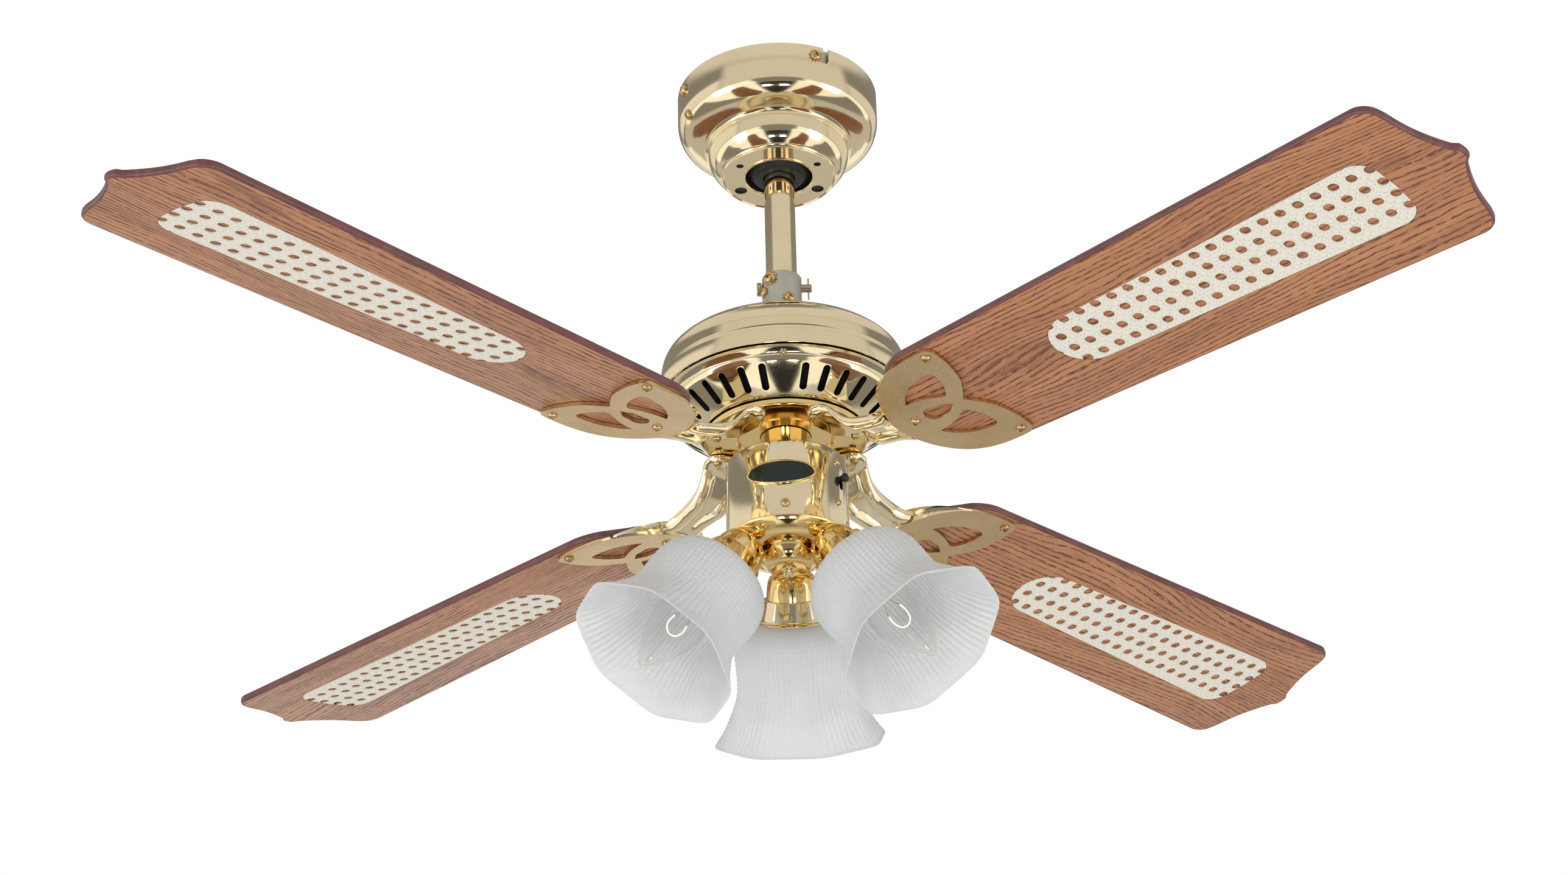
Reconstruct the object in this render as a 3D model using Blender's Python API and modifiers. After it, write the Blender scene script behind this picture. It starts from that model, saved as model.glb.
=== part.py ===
"""Ceiling fan with a three-lamp light kit: four wooden blades with cane inlays, polished brass fittings
and frosted bell shades. The frame has its origin on the fan's axis in the plane of the ceiling, with +Z
up, so the whole fan hangs below z = 0. Lengths are in metres."""

import math

import bmesh
import bpy
from mathutils import Matrix, Vector

# ---- Driving dimensions ----
GAP = 0.0003  # left between touching solids

CANOPY_RADIUS = 0.0683
CANOPY_BOTTOM_Z = -0.064
CANOPY_HOLE_RADIUS = 0.0232
DISC_HOLE_CIRCLE = 0.0303
BALL_Z = -0.045  # the centre that the whole fan tilts about
BALL_RADIUS = 0.026
ROD_RADIUS = 0.0103
ROD_WALL = 0.0015
ROD_TOP_Z = -0.0345
ROD_BOTTOM_Z = -0.170
PIN_RADIUS = 0.003  # the pin through the hanger ball
COLLAR_RADIUS = 0.0132
COLLAR_TOP_Z = -0.145
COLLAR_BOTTOM_Z = -0.1885
COUPLING_CENTRE = Vector((0, 0, -0.1525))
COUPLING_PIN_RADIUS = 0.00275

HOUSING_RADIUS = 0.0828
HOUSING_TOP_Z = -0.189
SHAFT_RADIUS = 0.008
SHAFT_BORE = 0.004
SHAFT_BOTTOM_Z = -0.300
VENT_SLOTS = 32  # pitches round the ring, with one left out at each quarter
SLOT_WIDTH = 0.0044

BLADE_PLANE_Z = -0.295
BLADE_COUNT = 4
BLADE_FIRST = math.radians(-44.15)
BLADE_PITCH = math.radians(-10.4)
BLADE_TIP_RADIUS = 0.525
BLADE_ROOT_RADIUS = 0.100
BLADE_ROOT_ROUND = 0.040  # radius of the root's rounded end
BLADE_TOP = 0.003  # the blade's top face, above the blade plane
BLADE_UNDER = -0.002  # its underside
OGEE_DEPTH = 0.0045  # how far the tip's two hollow curves bow inwards
PLATE_THICKNESS = 0.0025
INLAY_INNER_R, INLAY_OUTER_R = 0.230, 0.479
INLAY_DEPTH = 0.0009
FLANGE_RADIUS = 0.053
FLANGE_Z = -0.2693  # underside of the rotor's flange

SWITCH_RADIUS = 0.0396
SWITCH_TOP_Z = -0.2872
SWITCH_BOTTOM_Z = -0.3403
KNOB_ANGLE = math.radians(-29)
KNOB_Z = -0.3065
KNOB_TRAVEL = 0.006

LAMP_COUNT = 3
LAMP_FIRST = math.radians(-152.7)
LAMP_TILT = math.radians(53.3)  # the lamps' axes below the horizontal
RIM_CENTRE_R = 0.0964
RIM_CENTRE_Z = -0.4378
RIM_RADIUS = 0.057

LARGE = 28  # sides of the widest turned pieces
ROUND = 20  # sides of the middle-sized ones
SMALL = 12  # sides of the small ones

BRASS = ("polished_brass", (0.80, 0.66, 0.38), 0.16, 1.0)
SATIN_BRASS = ("satin_brass", (0.66, 0.56, 0.33), 0.38, 1.0)
ZINC = ("zinc_steel", (0.60, 0.62, 0.58), 0.45, 1.0)
BLACK = ("black_plastic", (0.02, 0.02, 0.02), 0.45, 0.0)
WOOD = ("oak_veneer", (0.42, 0.20, 0.10), 0.45, 0.0)
CANE = ("woven_cane", (0.86, 0.80, 0.66), 0.60, 0.0)
GLASS = ("frosted_glass", (0.86, 0.86, 0.87), 0.50, 0.0)
CLEAR = ("clear_glass", (0.95, 0.95, 0.93), 0.05, 0.0)
COPPER = ("copper_winding", (0.60, 0.25, 0.10), 0.35, 1.0)
IRON = ("laminated_iron", (0.22, 0.22, 0.23), 0.55, 1.0)
WHITE = ("white_plastic", (0.82, 0.82, 0.78), 0.45, 0.0)


# ---- Scene and materials ----
def clear_scene():
    for obj in list(bpy.data.objects):
        bpy.data.objects.remove(obj, do_unlink=True)


def new_collection(name):
    collection = bpy.data.collections.new(name)
    bpy.context.scene.collection.children.link(collection)
    return collection


def material(spec):
    name, colour, roughness, metallic = spec
    found = bpy.data.materials.get(name)
    if found:
        return found
    made = bpy.data.materials.new(name)
    made.use_nodes = True
    shader = made.node_tree.nodes["Principled BSDF"]
    shader.inputs["Base Color"].default_value = (*colour, 1.0)
    shader.inputs["Roughness"].default_value = roughness
    shader.inputs["Metallic"].default_value = metallic
    made.diffuse_color = (*colour, 1.0)
    return made


clear_scene()
PARTS = new_collection("ceiling_fan_with_light")
CUTTERS = new_collection("cutters")


def add_object(name, data, spec=None, parent=None, matrix=None):
    """An object of the fan, or a cutter where it has no material."""
    obj = bpy.data.objects.new(name, data)
    (PARTS if spec else CUTTERS).objects.link(obj)
    if spec:
        data.materials.append(material(spec))
    else:
        obj.hide_render = True
        obj.display_type = "WIRE"
    if matrix is not None:
        obj.matrix_world = matrix
    if parent:
        obj.parent = parent
        obj.matrix_parent_inverse = parent.matrix_world.inverted()
    return obj


def pivot(name, location, parent=None):
    empty = bpy.data.objects.new(name, None)
    PARTS.objects.link(empty)
    empty.matrix_world = Matrix.Translation(location)
    if parent:
        empty.parent = parent
        empty.matrix_parent_inverse = parent.matrix_world.inverted()
    return empty


# ---- Shapes ----
def smooth(obj, angle=35):
    obj.data.shade_smooth()
    obj.data.set_sharp_from_angle(angle=math.radians(angle))


def screw(obj, steps):
    turn = obj.modifiers.new("turn", "SCREW")
    turn.axis = "Z"
    turn.steps = turn.render_steps = steps
    turn.use_merge_vertices = True
    turn.merge_threshold = 0.00005
    return turn


def profile_mesh(name, points, closed):
    """The edge that a turned piece is swept from: (radius, height) points in the XZ plane."""
    mesh = bpy.data.meshes.new(name)
    edges = [(i, i + 1) for i in range(len(points) - 1)]
    if closed:
        edges.append((len(points) - 1, 0))
    mesh.from_pydata([(r, 0.0, z) for r, z in points], edges, [])
    return mesh


def turned(name, points, spec=None, parent=None, matrix=None, steps=ROUND):
    """A solid of revolution. A profile with both ends on the axis is open, any other is a closed ring."""
    on_axis = points[0][0] == 0 and points[-1][0] == 0
    obj = add_object(name, profile_mesh(name, points, not on_axis), spec, parent, matrix)
    screw(obj, steps)
    return obj


def shell(name, points, wall, spec, parent=None, matrix=None, steps=ROUND):
    """A turned sheet: points run down its outer face, and the wall grows inwards."""
    obj = add_object(name, profile_mesh(name, points, False), spec, parent, matrix)
    screw(obj, steps)
    thick = obj.modifiers.new("wall", "SOLIDIFY")
    thick.thickness = wall
    thick.offset = -1
    thick.use_even_offset = True
    return obj


def cylinder_mesh(name, radius, length, sides=SMALL, taper=1.0):
    """A cylinder along Z, centred on the origin."""
    mesh = bpy.data.meshes.new(name)
    work = bmesh.new()
    bmesh.ops.create_cone(
        work, cap_ends=True, segments=sides, radius1=radius, radius2=radius * taper, depth=length
    )
    work.to_mesh(mesh)
    work.free()
    return mesh


def box_mesh(name, size):
    mesh = bpy.data.meshes.new(name)
    work = bmesh.new()
    bmesh.ops.create_cube(work, size=1.0, matrix=Matrix.Diagonal((*size, 1.0)))
    work.to_mesh(mesh)
    work.free()
    return mesh


def cut(obj, *cutters):
    for cutter in cutters:
        boolean = obj.modifiers.new("cut " + cutter.name, "BOOLEAN")
        boolean.operation = "DIFFERENCE"
        boolean.object = cutter


def join(obj, *others):
    for other in others:
        boolean = obj.modifiers.new("join " + other.name, "BOOLEAN")
        boolean.operation = "UNION"
        boolean.object = other


def flat_solid(name, outlines, low, high, matrix):
    """A mesh object of closed 2D outlines, the first round the others, extruded from low to high."""
    curve = bpy.data.curves.new(name, "CURVE")
    curve.dimensions = "2D"
    curve.fill_mode = "BOTH"
    curve.extrude = (high - low) / 2
    for outline in outlines:
        spline = curve.splines.new("POLY")
        spline.points.add(len(outline) - 1)
        for point, (x, y) in zip(spline.points, outline):
            point.co = (x, y, 0.0, 1.0)
        spline.use_cyclic_u = True
    guide = bpy.data.objects.new(name + "_outline", curve)
    CUTTERS.objects.link(guide)
    bpy.context.view_layer.update()
    evaluated = guide.evaluated_get(bpy.context.evaluated_depsgraph_get())
    mesh = bpy.data.meshes.new_from_object(evaluated)
    bpy.data.objects.remove(guide, do_unlink=True)
    bpy.data.curves.remove(curve)
    work = bmesh.new()
    work.from_mesh(mesh)
    bmesh.ops.remove_doubles(work, verts=work.verts, dist=0.00001)
    bmesh.ops.recalc_face_normals(work, faces=work.faces)
    work.to_mesh(mesh)
    work.free()
    mesh.name = name
    mesh.transform(Matrix.Translation((0, 0, (high + low) / 2)))
    mesh.transform(matrix)
    return mesh


def loft(name, sections):
    """A closed skin through rings of corners, each ring having the same number of points."""
    mesh = bpy.data.meshes.new(name)
    work = bmesh.new()
    rings = [[work.verts.new(point) for point in section] for section in sections]
    count = len(rings[0])
    for ring, following in zip(rings, rings[1:]):
        for i in range(count):
            j = (i + 1) % count
            work.faces.new((ring[i], ring[j], following[j], following[i]))
    work.faces.new(rings[0])
    work.faces.new(rings[-1])
    bmesh.ops.recalc_face_normals(work, faces=work.faces)
    work.to_mesh(mesh)
    work.free()
    return mesh


def arc(centre, radius, start, end, count):
    """Points along an arc, angles in degrees."""
    steps = [math.radians(start + (end - start) * i / (count - 1)) for i in range(count)]
    return [(centre[0] + radius * math.cos(a), centre[1] + radius * math.sin(a)) for a in steps]


def mirrored(half):
    """A closed outline from its half at y >= 0, whose ends lie on the X axis."""
    return half + [(x, -y) for x, y in reversed(half[1:-1])]


def radial(angle, radius, height):
    """Turns local +Z to point outwards at this angle round the axis, with local +X down."""
    out = Vector((math.cos(angle), math.sin(angle), 0))
    down = Vector((0, 0, -1))
    rotation = Matrix((down, out.cross(down), out)).transposed()
    return Matrix.Translation(out * radius + Vector((0, 0, height))) @ rotation.to_4x4()


# ---- Ceiling mount: bracket, ball seat, canopy ----
CEILING = pivot("ceiling_mount", (0, 0, 0))
STRAP_WIDTH = 0.026
STRAP_THICKNESS = 0.002
SLOT_LENGTH, CEILING_SLOT_WIDTH = 0.016, 0.0055
SLOT_OFFSET = 0.030  # of each ceiling screw's slot from the axis
TAB_RADIUS = 0.0640
TAB_LENGTH = 0.016
LEG_OFFSET = 0.0318
SEAT_RING_TOP_Z = -0.058
SEAT_BORE = 0.0236
SCREW_Z = -0.0085  # height of the canopy's screws
SCREW_ANGLES = {"front": -67, "right": 23, "back": 113, "left": 203}


def turned_box(name, size, angle, centre):
    """A box whose centre is given along a direction at this angle round the axis, in degrees."""
    mesh = box_mesh(name, size)
    mesh.transform(Matrix.Rotation(math.radians(angle), 4, "Z") @ Matrix.Translation(centre))
    return mesh


def screw_holes(radius):
    holes = []
    for name, angle in SCREW_ANGLES.items():
        hole = cylinder_mesh(f"screw_hole_{name}", radius, 0.016)
        place = radial(math.radians(angle), TAB_RADIUS + 0.002, SCREW_Z)
        holes.append(add_object(f"screw_hole_{name}", hole, matrix=place))
    return holes


def hanger_bracket():
    """A cross of steel strap with a down-turned tab at each end, and two legs to the seat's ring."""
    long, mid = 2 * TAB_RADIUS, -STRAP_THICKNESS / 2
    across, lengthwise = SCREW_ANGLES["right"], SCREW_ANGLES["back"]
    strap = turned_box("strap", (long, STRAP_WIDTH, STRAP_THICKNESS), across, (0, 0, mid))
    bracket = add_object("hanger_bracket", strap, ZINC, CEILING)
    second = turned_box("second", (long, STRAP_WIDTH, STRAP_THICKNESS - GAP), lengthwise, (0, 0, mid))
    pieces = [add_object("second_strap", second)]
    for name, angle in SCREW_ANGLES.items():
        size = (STRAP_THICKNESS, STRAP_WIDTH - 0.0004, TAB_LENGTH)
        centre = (TAB_RADIUS - 0.0007, 0, -0.0005 - TAB_LENGTH / 2)
        pieces.append(add_object(f"tab_{name}", turned_box("tab", size, angle, centre)))
    for side in (1, -1):
        size = (STRAP_THICKNESS, 0.020, -SEAT_RING_TOP_Z + 0.0005)
        leg = turned_box("leg", size, across, (side * LEG_OFFSET, 0, SEAT_RING_TOP_Z / 2 - 0.00125))
        pieces.append(add_object(f"leg_{side}", leg))
    low = SEAT_RING_TOP_Z - STRAP_THICKNESS
    ring = [(SEAT_BORE, SEAT_RING_TOP_Z), (0.0335, SEAT_RING_TOP_Z), (0.0335, low), (SEAT_BORE, low)]
    pieces.append(turned("seat_ring", ring))
    join(bracket, *pieces)
    for side in (1, -1):
        size = (SLOT_LENGTH, CEILING_SLOT_WIDTH, 0.010)
        slot = turned_box("ceiling_slot", size, lengthwise, (side * SLOT_OFFSET, 0, 0))
        cut(bracket, add_object(f"ceiling_slot_{side}", slot))
    cut(bracket, *screw_holes(0.0020))


def ball_seat():
    """The plastic cup ring, whose inner face is part of a sphere just outside the ball."""
    low, high, outer = SEAT_RING_TOP_Z + GAP, -0.0470, 0.0295
    sphere = BALL_RADIUS + 0.0008  # so that the ball's facets turn past the cup's
    steps = [low + (high - low) * i / 4 for i in range(5)]
    inside = [(math.sqrt(sphere**2 - (z - BALL_Z) ** 2), z) for z in steps]
    turned("ball_seat", [(outer, high), (outer, low), *inside], BLACK, CEILING)


def canopy():
    """The brass ceiling cup in two tiers, open at the ceiling, with holes in the disc below."""
    profile = [
        (CANOPY_RADIUS, -0.0005),
        (CANOPY_RADIUS, -0.0230),
        (0.0665, -0.0290),
        (0.0615, -0.0345),
        (0.0500, -0.0395),
        (0.0478, -0.0425),
        (0.0474, -0.0480),
        (0.0440, -0.0570),
        (0.0377, CANOPY_BOTTOM_Z),
        (CANOPY_HOLE_RADIUS, CANOPY_BOTTOM_Z),
    ]
    cup = shell("canopy", profile, 0.0010, BRASS, CEILING)
    for angle, radius in ((-149.5, 0.0025), (-30.5, 0.0025), (150, 0.0042), (30, 0.0042)):
        hole = cylinder_mesh("disc_hole", radius, 0.006, 14)
        spot = Matrix.Translation((DISC_HOLE_CIRCLE, 0, CANOPY_BOTTOM_Z))
        hole.transform(Matrix.Rotation(math.radians(angle), 4, "Z") @ spot)
        cut(cup, add_object(f"disc_hole_{angle}", hole))
    # The slot beside the front screw, by which the canopy twists off.
    beside = radial(math.radians(SCREW_ANGLES["front"] + 6), TAB_RADIUS, SCREW_Z - 0.001)
    keyhole = add_object("keyhole", box_mesh("keyhole", (0.009, 0.005, 0.016)), matrix=beside)
    cut(cup, keyhole, *screw_holes(0.0022))


def headed_screw(name, parent, place, head_radius, head_height, stem, length):
    """A round-head screw along local Z, its head seated a gap above the surface at z = 0."""
    profile = [
        (0, head_height),
        (0.55 * head_radius, 0.95 * head_height),
        (0.95 * head_radius, 0.5 * head_height),
        (head_radius, GAP),
        (stem, GAP),
        (stem, -length),
        (0, -length),
    ]
    turned(name, profile, BRASS, parent, place, steps=SMALL)


def canopy_screws():
    for name, angle in SCREW_ANGLES.items():
        place = radial(math.radians(angle), CANOPY_RADIUS, SCREW_Z)
        headed_screw(f"canopy_screw_{name}", CEILING, place, 0.0035, 0.0022, 0.0017, 0.0075)


def terminal_block():
    size = (0.012, 0.026, 0.014)
    centre = (0.0465, 0, -STRAP_THICKNESS - GAP - size[2] / 2)
    block = turned_box("terminal_block", size, SCREW_ANGLES["right"], centre)
    add_object("terminal_block", block, WHITE, CEILING)


# ---- Hanging parts: ball, rod, coupling ----
TILT_CENTRE = Vector((0, 0, BALL_Z))
TILT = pivot("tilt_centre", TILT_CENTRE, CEILING)
HANGING = pivot("hanging", TILT_CENTRE, TILT)


def along(axis, centre):
    """Turns local +Z to lie along a world axis, at a centre."""
    turn = Vector((0, 0, 1)).rotation_difference(Vector(axis)).to_matrix().to_4x4()
    return Matrix.Translation(centre) @ turn


def hanger():
    across = along((0, 1, 0), TILT_CENTRE)
    pin_hole = cylinder_mesh("hanger_pin_hole", PIN_RADIUS + GAP, 0.08, 16)
    pin_hole = add_object("hanger_pin_hole", pin_hole, matrix=across)
    top, bottom = 0.0120, -0.0205  # the ball's flat ends, from its centre
    start, end = math.asin(top / BALL_RADIUS), math.asin(bottom / BALL_RADIUS)
    angles = [start + (end - start) * i / 6 for i in range(7)]
    outer = [(BALL_RADIUS * math.cos(a), BALL_Z + BALL_RADIUS * math.sin(a)) for a in angles]
    bore = ROD_RADIUS + GAP
    ball = turned("hanger_ball", [(bore, BALL_Z + top), *outer, (bore, BALL_Z + bottom)], BLACK, HANGING)
    cut(ball, pin_hole)
    rod = turned(
        "downrod",
        [
            (ROD_RADIUS, ROD_TOP_Z),
            (ROD_RADIUS, ROD_BOTTOM_Z),
            (ROD_RADIUS - ROD_WALL, ROD_BOTTOM_Z),
            (ROD_RADIUS - ROD_WALL, ROD_TOP_Z),
        ],
        BRASS,
        HANGING,
        steps=SMALL,
    )
    coupling_hole = cylinder_mesh("coupling_hole", COUPLING_PIN_RADIUS + GAP, 0.06, 14)
    coupling_hole = add_object("coupling_hole", coupling_hole, matrix=along((1, 0, 0), COUPLING_CENTRE))
    cut(rod, pin_hole, coupling_hole)
    pin = cylinder_mesh("hanger_pin", PIN_RADIUS, 0.046, 16)
    add_object("hanger_pin", pin, ZINC, TILT, across)
    collar = turned(
        "coupling_collar",
        [
            (COLLAR_RADIUS, COLLAR_TOP_Z),
            (COLLAR_RADIUS, -0.1840),
            (0.0240, -0.1858),
            (0.0240, COLLAR_BOTTOM_Z),
            (SHAFT_RADIUS + GAP, COLLAR_BOTTOM_Z),
            (SHAFT_RADIUS + GAP, -0.1740),
            (ROD_RADIUS + GAP, -0.1720),
            (ROD_RADIUS + GAP, COLLAR_TOP_Z),
        ],
        ZINC,
        HANGING,
        steps=SMALL,
    )
    cut(collar, coupling_hole)
    return collar


def coupling_fasteners(collar):
    """The headed pin through the collar and rod with its clip, and two set screws."""
    half = COLLAR_RADIUS + GAP
    end = half + 0.0065
    pin = turned(
        "coupling_pin",
        [
            (0, end),
            (COUPLING_PIN_RADIUS, end),
            (COUPLING_PIN_RADIUS, -half),
            (0.0046, -half),
            (0.0046, -half - 0.0032),
            (0, -half - 0.0032),
        ],
        ZINC,
        HANGING,
        along((1, 0, 0), COUPLING_CENTRE),
        steps=SMALL,
    )
    wire = 0.0012
    clip_centre = COUPLING_CENTRE + Vector((half + 0.0042, 0, 0))
    clip_hole = cylinder_mesh("clip_hole", wire, 0.02, 10)
    cut(pin, add_object("clip_hole", clip_hole, matrix=Matrix.Translation(clip_centre)))
    clip = box_mesh("pin_clip", (wire, wire, 0.0165))
    clip.transform(Matrix.Translation(clip_centre))
    loop = box_mesh("clip_loop", (wire, 0.0050, 2 * wire))
    loop.transform(Matrix.Translation(clip_centre + Vector((0, 0, 0.0090))))
    join(add_object("pin_clip", clip, ZINC, HANGING), add_object("clip_loop", loop))
    stem = 0.0018
    for name, angle, height in (("set_screw_upper", -125, -0.1500), ("set_screw_lower", -68, -0.1660)):
        place = radial(math.radians(angle), COLLAR_RADIUS, height)
        hole = cylinder_mesh(f"{name}_hole", stem + GAP, 0.008)
        cut(collar, add_object(f"{name}_hole", hole, matrix=place))
        headed_screw(name, HANGING, place, 0.0033, 0.0026, stem, 0.0022)


# ---- Motor: fixed covers, shaft, stator; turning case ----
ROTOR = pivot("rotor", (0, 0, BLADE_PLANE_Z), HANGING)


def motor_covers():
    profile = [
        (0.0090, HOUSING_TOP_Z),
        (0.0300, -0.1898),
        (0.0480, -0.1932),
        (0.0650, -0.2000),
        (0.0780, -0.2090),
        (0.0798, -0.2125),
        (0.0808, -0.2180),
        (0.0813, -0.2262),
        (0.0824, -0.2290),
        (HOUSING_RADIUS, -0.2345),
        (0.0822, -0.2405),
    ]
    shell("motor_cover", profile, 0.0010, BRASS, HANGING, steps=LARGE)
    vent_profile = [
        (0.0808, -0.2412),
        (0.0775, -0.2432),
        (0.0758, -0.2465),
        (0.0740, -0.2496),
        (0.0580, -0.2624),
        (0.0540, -0.2645),
    ]
    vent = shell("vent_ring", vent_profile, 0.0010, BRASS, HANGING, steps=LARGE)
    inner, outer = Vector((0.0602, 0, -0.2607)), Vector((0.0718, 0, -0.2514))
    slot = outer - inner
    tilt = math.atan2(slot.z, slot.x)
    slots = bpy.data.meshes.new("vent_slots")
    work = bmesh.new()
    for index in range(VENT_SLOTS):
        if index % (VENT_SLOTS // BLADE_COUNT) == 0:
            continue
        turn = Matrix.Rotation(2 * math.pi * index / VENT_SLOTS, 4, "Z")
        place = turn @ Matrix.Translation((inner + outer) / 2) @ Matrix.Rotation(-tilt, 4, "Y")
        half, rad = slot.length / 2, SLOT_WIDTH / 2
        ends = arc((half, 0), rad, -90, 90, 4) + arc((-half, 0), rad, 90, 270, 4)
        top = [work.verts.new(place @ Vector((x, y, 0.004))) for x, y in ends]
        low = [work.verts.new(place @ Vector((x, y, -0.004))) for x, y in ends]
        work.faces.new(top)
        work.faces.new(list(reversed(low)))
        for i in range(len(ends)):
            j = (i + 1) % len(ends)
            work.faces.new((top[i], low[i], low[j], top[j]))
    work.to_mesh(slots)
    work.free()
    cut(vent, add_object("vent_slots", slots))


def motor_core():
    turned(
        "motor_shaft",
        [
            (SHAFT_RADIUS, -0.1760),
            (SHAFT_RADIUS, SHAFT_BOTTOM_Z),
            (SHAFT_BORE, SHAFT_BOTTOM_Z),
            (SHAFT_BORE, -0.1760),
        ],
        ZINC,
        HANGING,
        steps=SMALL,
    )
    bore = SHAFT_RADIUS + GAP
    for name, top, low in (("upper_bearing", -0.2075, -0.2137), ("lower_bearing", -0.2587, -0.2647)):
        turned(name, [(0.0140, top), (0.0140, low), (bore, low), (bore, top)], ZINC, HANGING, steps=SMALL)
    turned(
        "stator_core",
        [
            (0.0560, -0.2250),
            (0.0560, -0.2400),
            (0.0250, -0.2400),
            (0.0170, -0.2460),
            (bore, -0.2460),
            (bore, -0.2190),
            (0.0170, -0.2190),
            (0.0250, -0.2250),
        ],
        IRON,
        HANGING,
    )
    for name, low, high in (("winding_upper", -0.2247, -0.2175), ("winding_lower", -0.2475, -0.2403)):
        middle = (low + high) / 2
        outside = [(0.0480, high), (0.0520, middle), (0.0480, low)]
        inside = [(0.0320, low), (0.0290, middle), (0.0320, high)]
        turned(name, outside + inside, COPPER, HANGING, steps=SMALL)


def rotor_case():
    """The turning motor case: one wall with a boss round each bearing, and room inside for the stator."""
    turned(
        "rotor_case",
        [
            (0.0143, -0.2070),
            (0.0200, -0.2070),
            (0.0210, -0.2105),
            (0.0600, -0.2115),
            (0.0640, -0.2155),
            (0.0640, -0.2460),
            (0.0525, -0.2570),
            (0.0500, -0.2650),
            (0.0143, -0.2650),
            (0.0143, -0.2580),
            (0.0200, -0.2580),
            (0.0210, -0.2625),
            (0.0478, -0.2625),
            (0.0500, -0.2562),
            (0.0612, -0.2448),
            (0.0612, -0.2167),
            (0.0590, -0.2143),
            (0.0200, -0.2135),
            (0.0143, -0.2135),
        ],
        IRON,
        ROTOR,
    )
    turned(
        "rotor_flange",
        [(FLANGE_RADIUS, -0.2655), (FLANGE_RADIUS, FLANGE_Z), (0.0310, FLANGE_Z), (0.0310, -0.2655)],
        BRASS,
        ROTOR,
    )


# ---- Blades and their arms ----
def blade_frame(index):
    """+X out along the blade and +Z up out of its top face, pitched about its own length."""
    angle = BLADE_FIRST + index * 2 * math.pi / BLADE_COUNT
    turn = Matrix.Rotation(angle, 4, "Z") @ Matrix.Rotation(BLADE_PITCH, 4, "X")
    return Matrix.Translation((0, 0, BLADE_PLANE_Z)) @ turn


def blade_outline():
    """Rounded root, straight taper, rounded corners and an ogee tip that comes to a point."""
    root = arc((BLADE_ROOT_RADIUS + BLADE_ROOT_ROUND, 0.0), BLADE_ROOT_ROUND, 180, 126, 5)
    shoulder = arc((0.1520, 0.0162), 0.0370, 128, 95, 4)
    corner = arc((0.4935, 0.0505), 0.0130, 96, 15, 6)
    ogee_start, ogee_end = Vector((0.5068, 0.0535)), Vector((BLADE_TIP_RADIUS, 0.0))
    ogee = []
    for i in range(1, 7):
        t = i / 7
        point = ogee_start.lerp(ogee_end, t)
        ogee.append((point.x - OGEE_DEPTH * math.sin(math.pi * t), point.y))
    return mirrored([*root, *shoulder, *corner, *ogee, tuple(ogee_end)])


def inlay_outline(inset=0.0):
    """A long panel, round at the inner end and nearly square at the outer end."""
    inner = arc((INLAY_INNER_R + 0.023, 0), 0.023 - inset, 180, 95, 6)
    outer = arc((INLAY_OUTER_R - 0.0155, 0.0155), 0.0145 - inset, 92, 8, 5)
    return mirrored([*inner, *outer, (INLAY_OUTER_R - inset, 0.0)])


def plate_outline():
    """The outer edge of the leaf plate under the blade's root."""
    return mirrored(
        [
            (0.1000, 0.0),
            (0.1006, 0.0077),
            (0.1046, 0.0190),
            (0.1096, 0.0282),
            (0.1160, 0.0360),
            (0.1240, 0.0424),
            (0.1350, 0.0472),
            (0.1480, 0.0496),
            (0.1600, 0.0500),
            *arc((0.1645, 0.0440), 0.0058, 80, -10, 4),
            (0.1700, 0.0330),
            (0.1664, 0.0180),
            (0.1610, 0.0090),
            (0.1535, 0.0),
        ]
    )


def plate_openings():
    """A leaf-shaped window on each side and a drop-shaped one between them."""
    leaf = [
        (0.1202, 0.0160),
        (0.1250, 0.0222),
        (0.1330, 0.0280),
        (0.1420, 0.0312),
        (0.1520, 0.0322),
        (0.1560, 0.0295),
        (0.1550, 0.0200),
        (0.1510, 0.0120),
        (0.1466, 0.0082),
        (0.1400, 0.0112),
        (0.1300, 0.0146),
    ]
    drop = [(0.1222, 0.0), *arc((0.1290, 0.0), 0.0066, 150, 60, 4), (0.1390, 0.0052), (0.1460, 0.0)]
    return [leaf, [(x, -y) for x, y in reversed(leaf)], mirrored(drop)]


ARM_TOP_Z = FLANGE_Z - GAP - BLADE_PLANE_Z  # the pad's top face, above the blade plane
ARM_PATH = [  # (radius, height of the top face above the blade plane, half-width, thickness)
    (0.0360, ARM_TOP_Z, 0.0170, 0.0050),
    (0.0430, ARM_TOP_Z, 0.0235, 0.0050),
    (0.0510, ARM_TOP_Z, 0.0230, 0.0050),
    (0.0580, 0.0215, 0.0190, 0.0060),
    (0.0640, 0.0140, 0.0165, 0.0065),
    (0.0740, 0.0085, 0.0150, 0.0070),
    (0.0880, 0.0050, 0.0140, 0.0070),
    (0.0955, 0.0010, 0.0130, 0.0055),
    (0.0995, -0.0027, 0.0125, 0.0019),
    (0.1060, -0.0027, 0.0120, 0.0016),
]


def arm_skin(index):
    """The cast arm between the rotor's flange and the plate, turning into the blade's pitch on the way."""
    angle = BLADE_FIRST + index * 2 * math.pi / BLADE_COUNT
    start, end = ARM_PATH[2][0], ARM_PATH[6][0]
    sections = []
    for radius, top, half, thick in ARM_PATH:
        share = min(max((radius - start) / (end - start), 0.0), 1.0)
        place = Matrix.Rotation(angle, 4, "Z") @ Matrix.Rotation(BLADE_PITCH * share, 4, "X")
        corners = [(-half, top), (-half, top - thick), (half, top - thick), (half, top)]
        place = Matrix.Translation((0, 0, BLADE_PLANE_Z)) @ place
        sections.append([place @ Vector((radius, y, z)) for y, z in corners])
    return loft(f"arm_skin_{index + 1}", sections)


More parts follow.
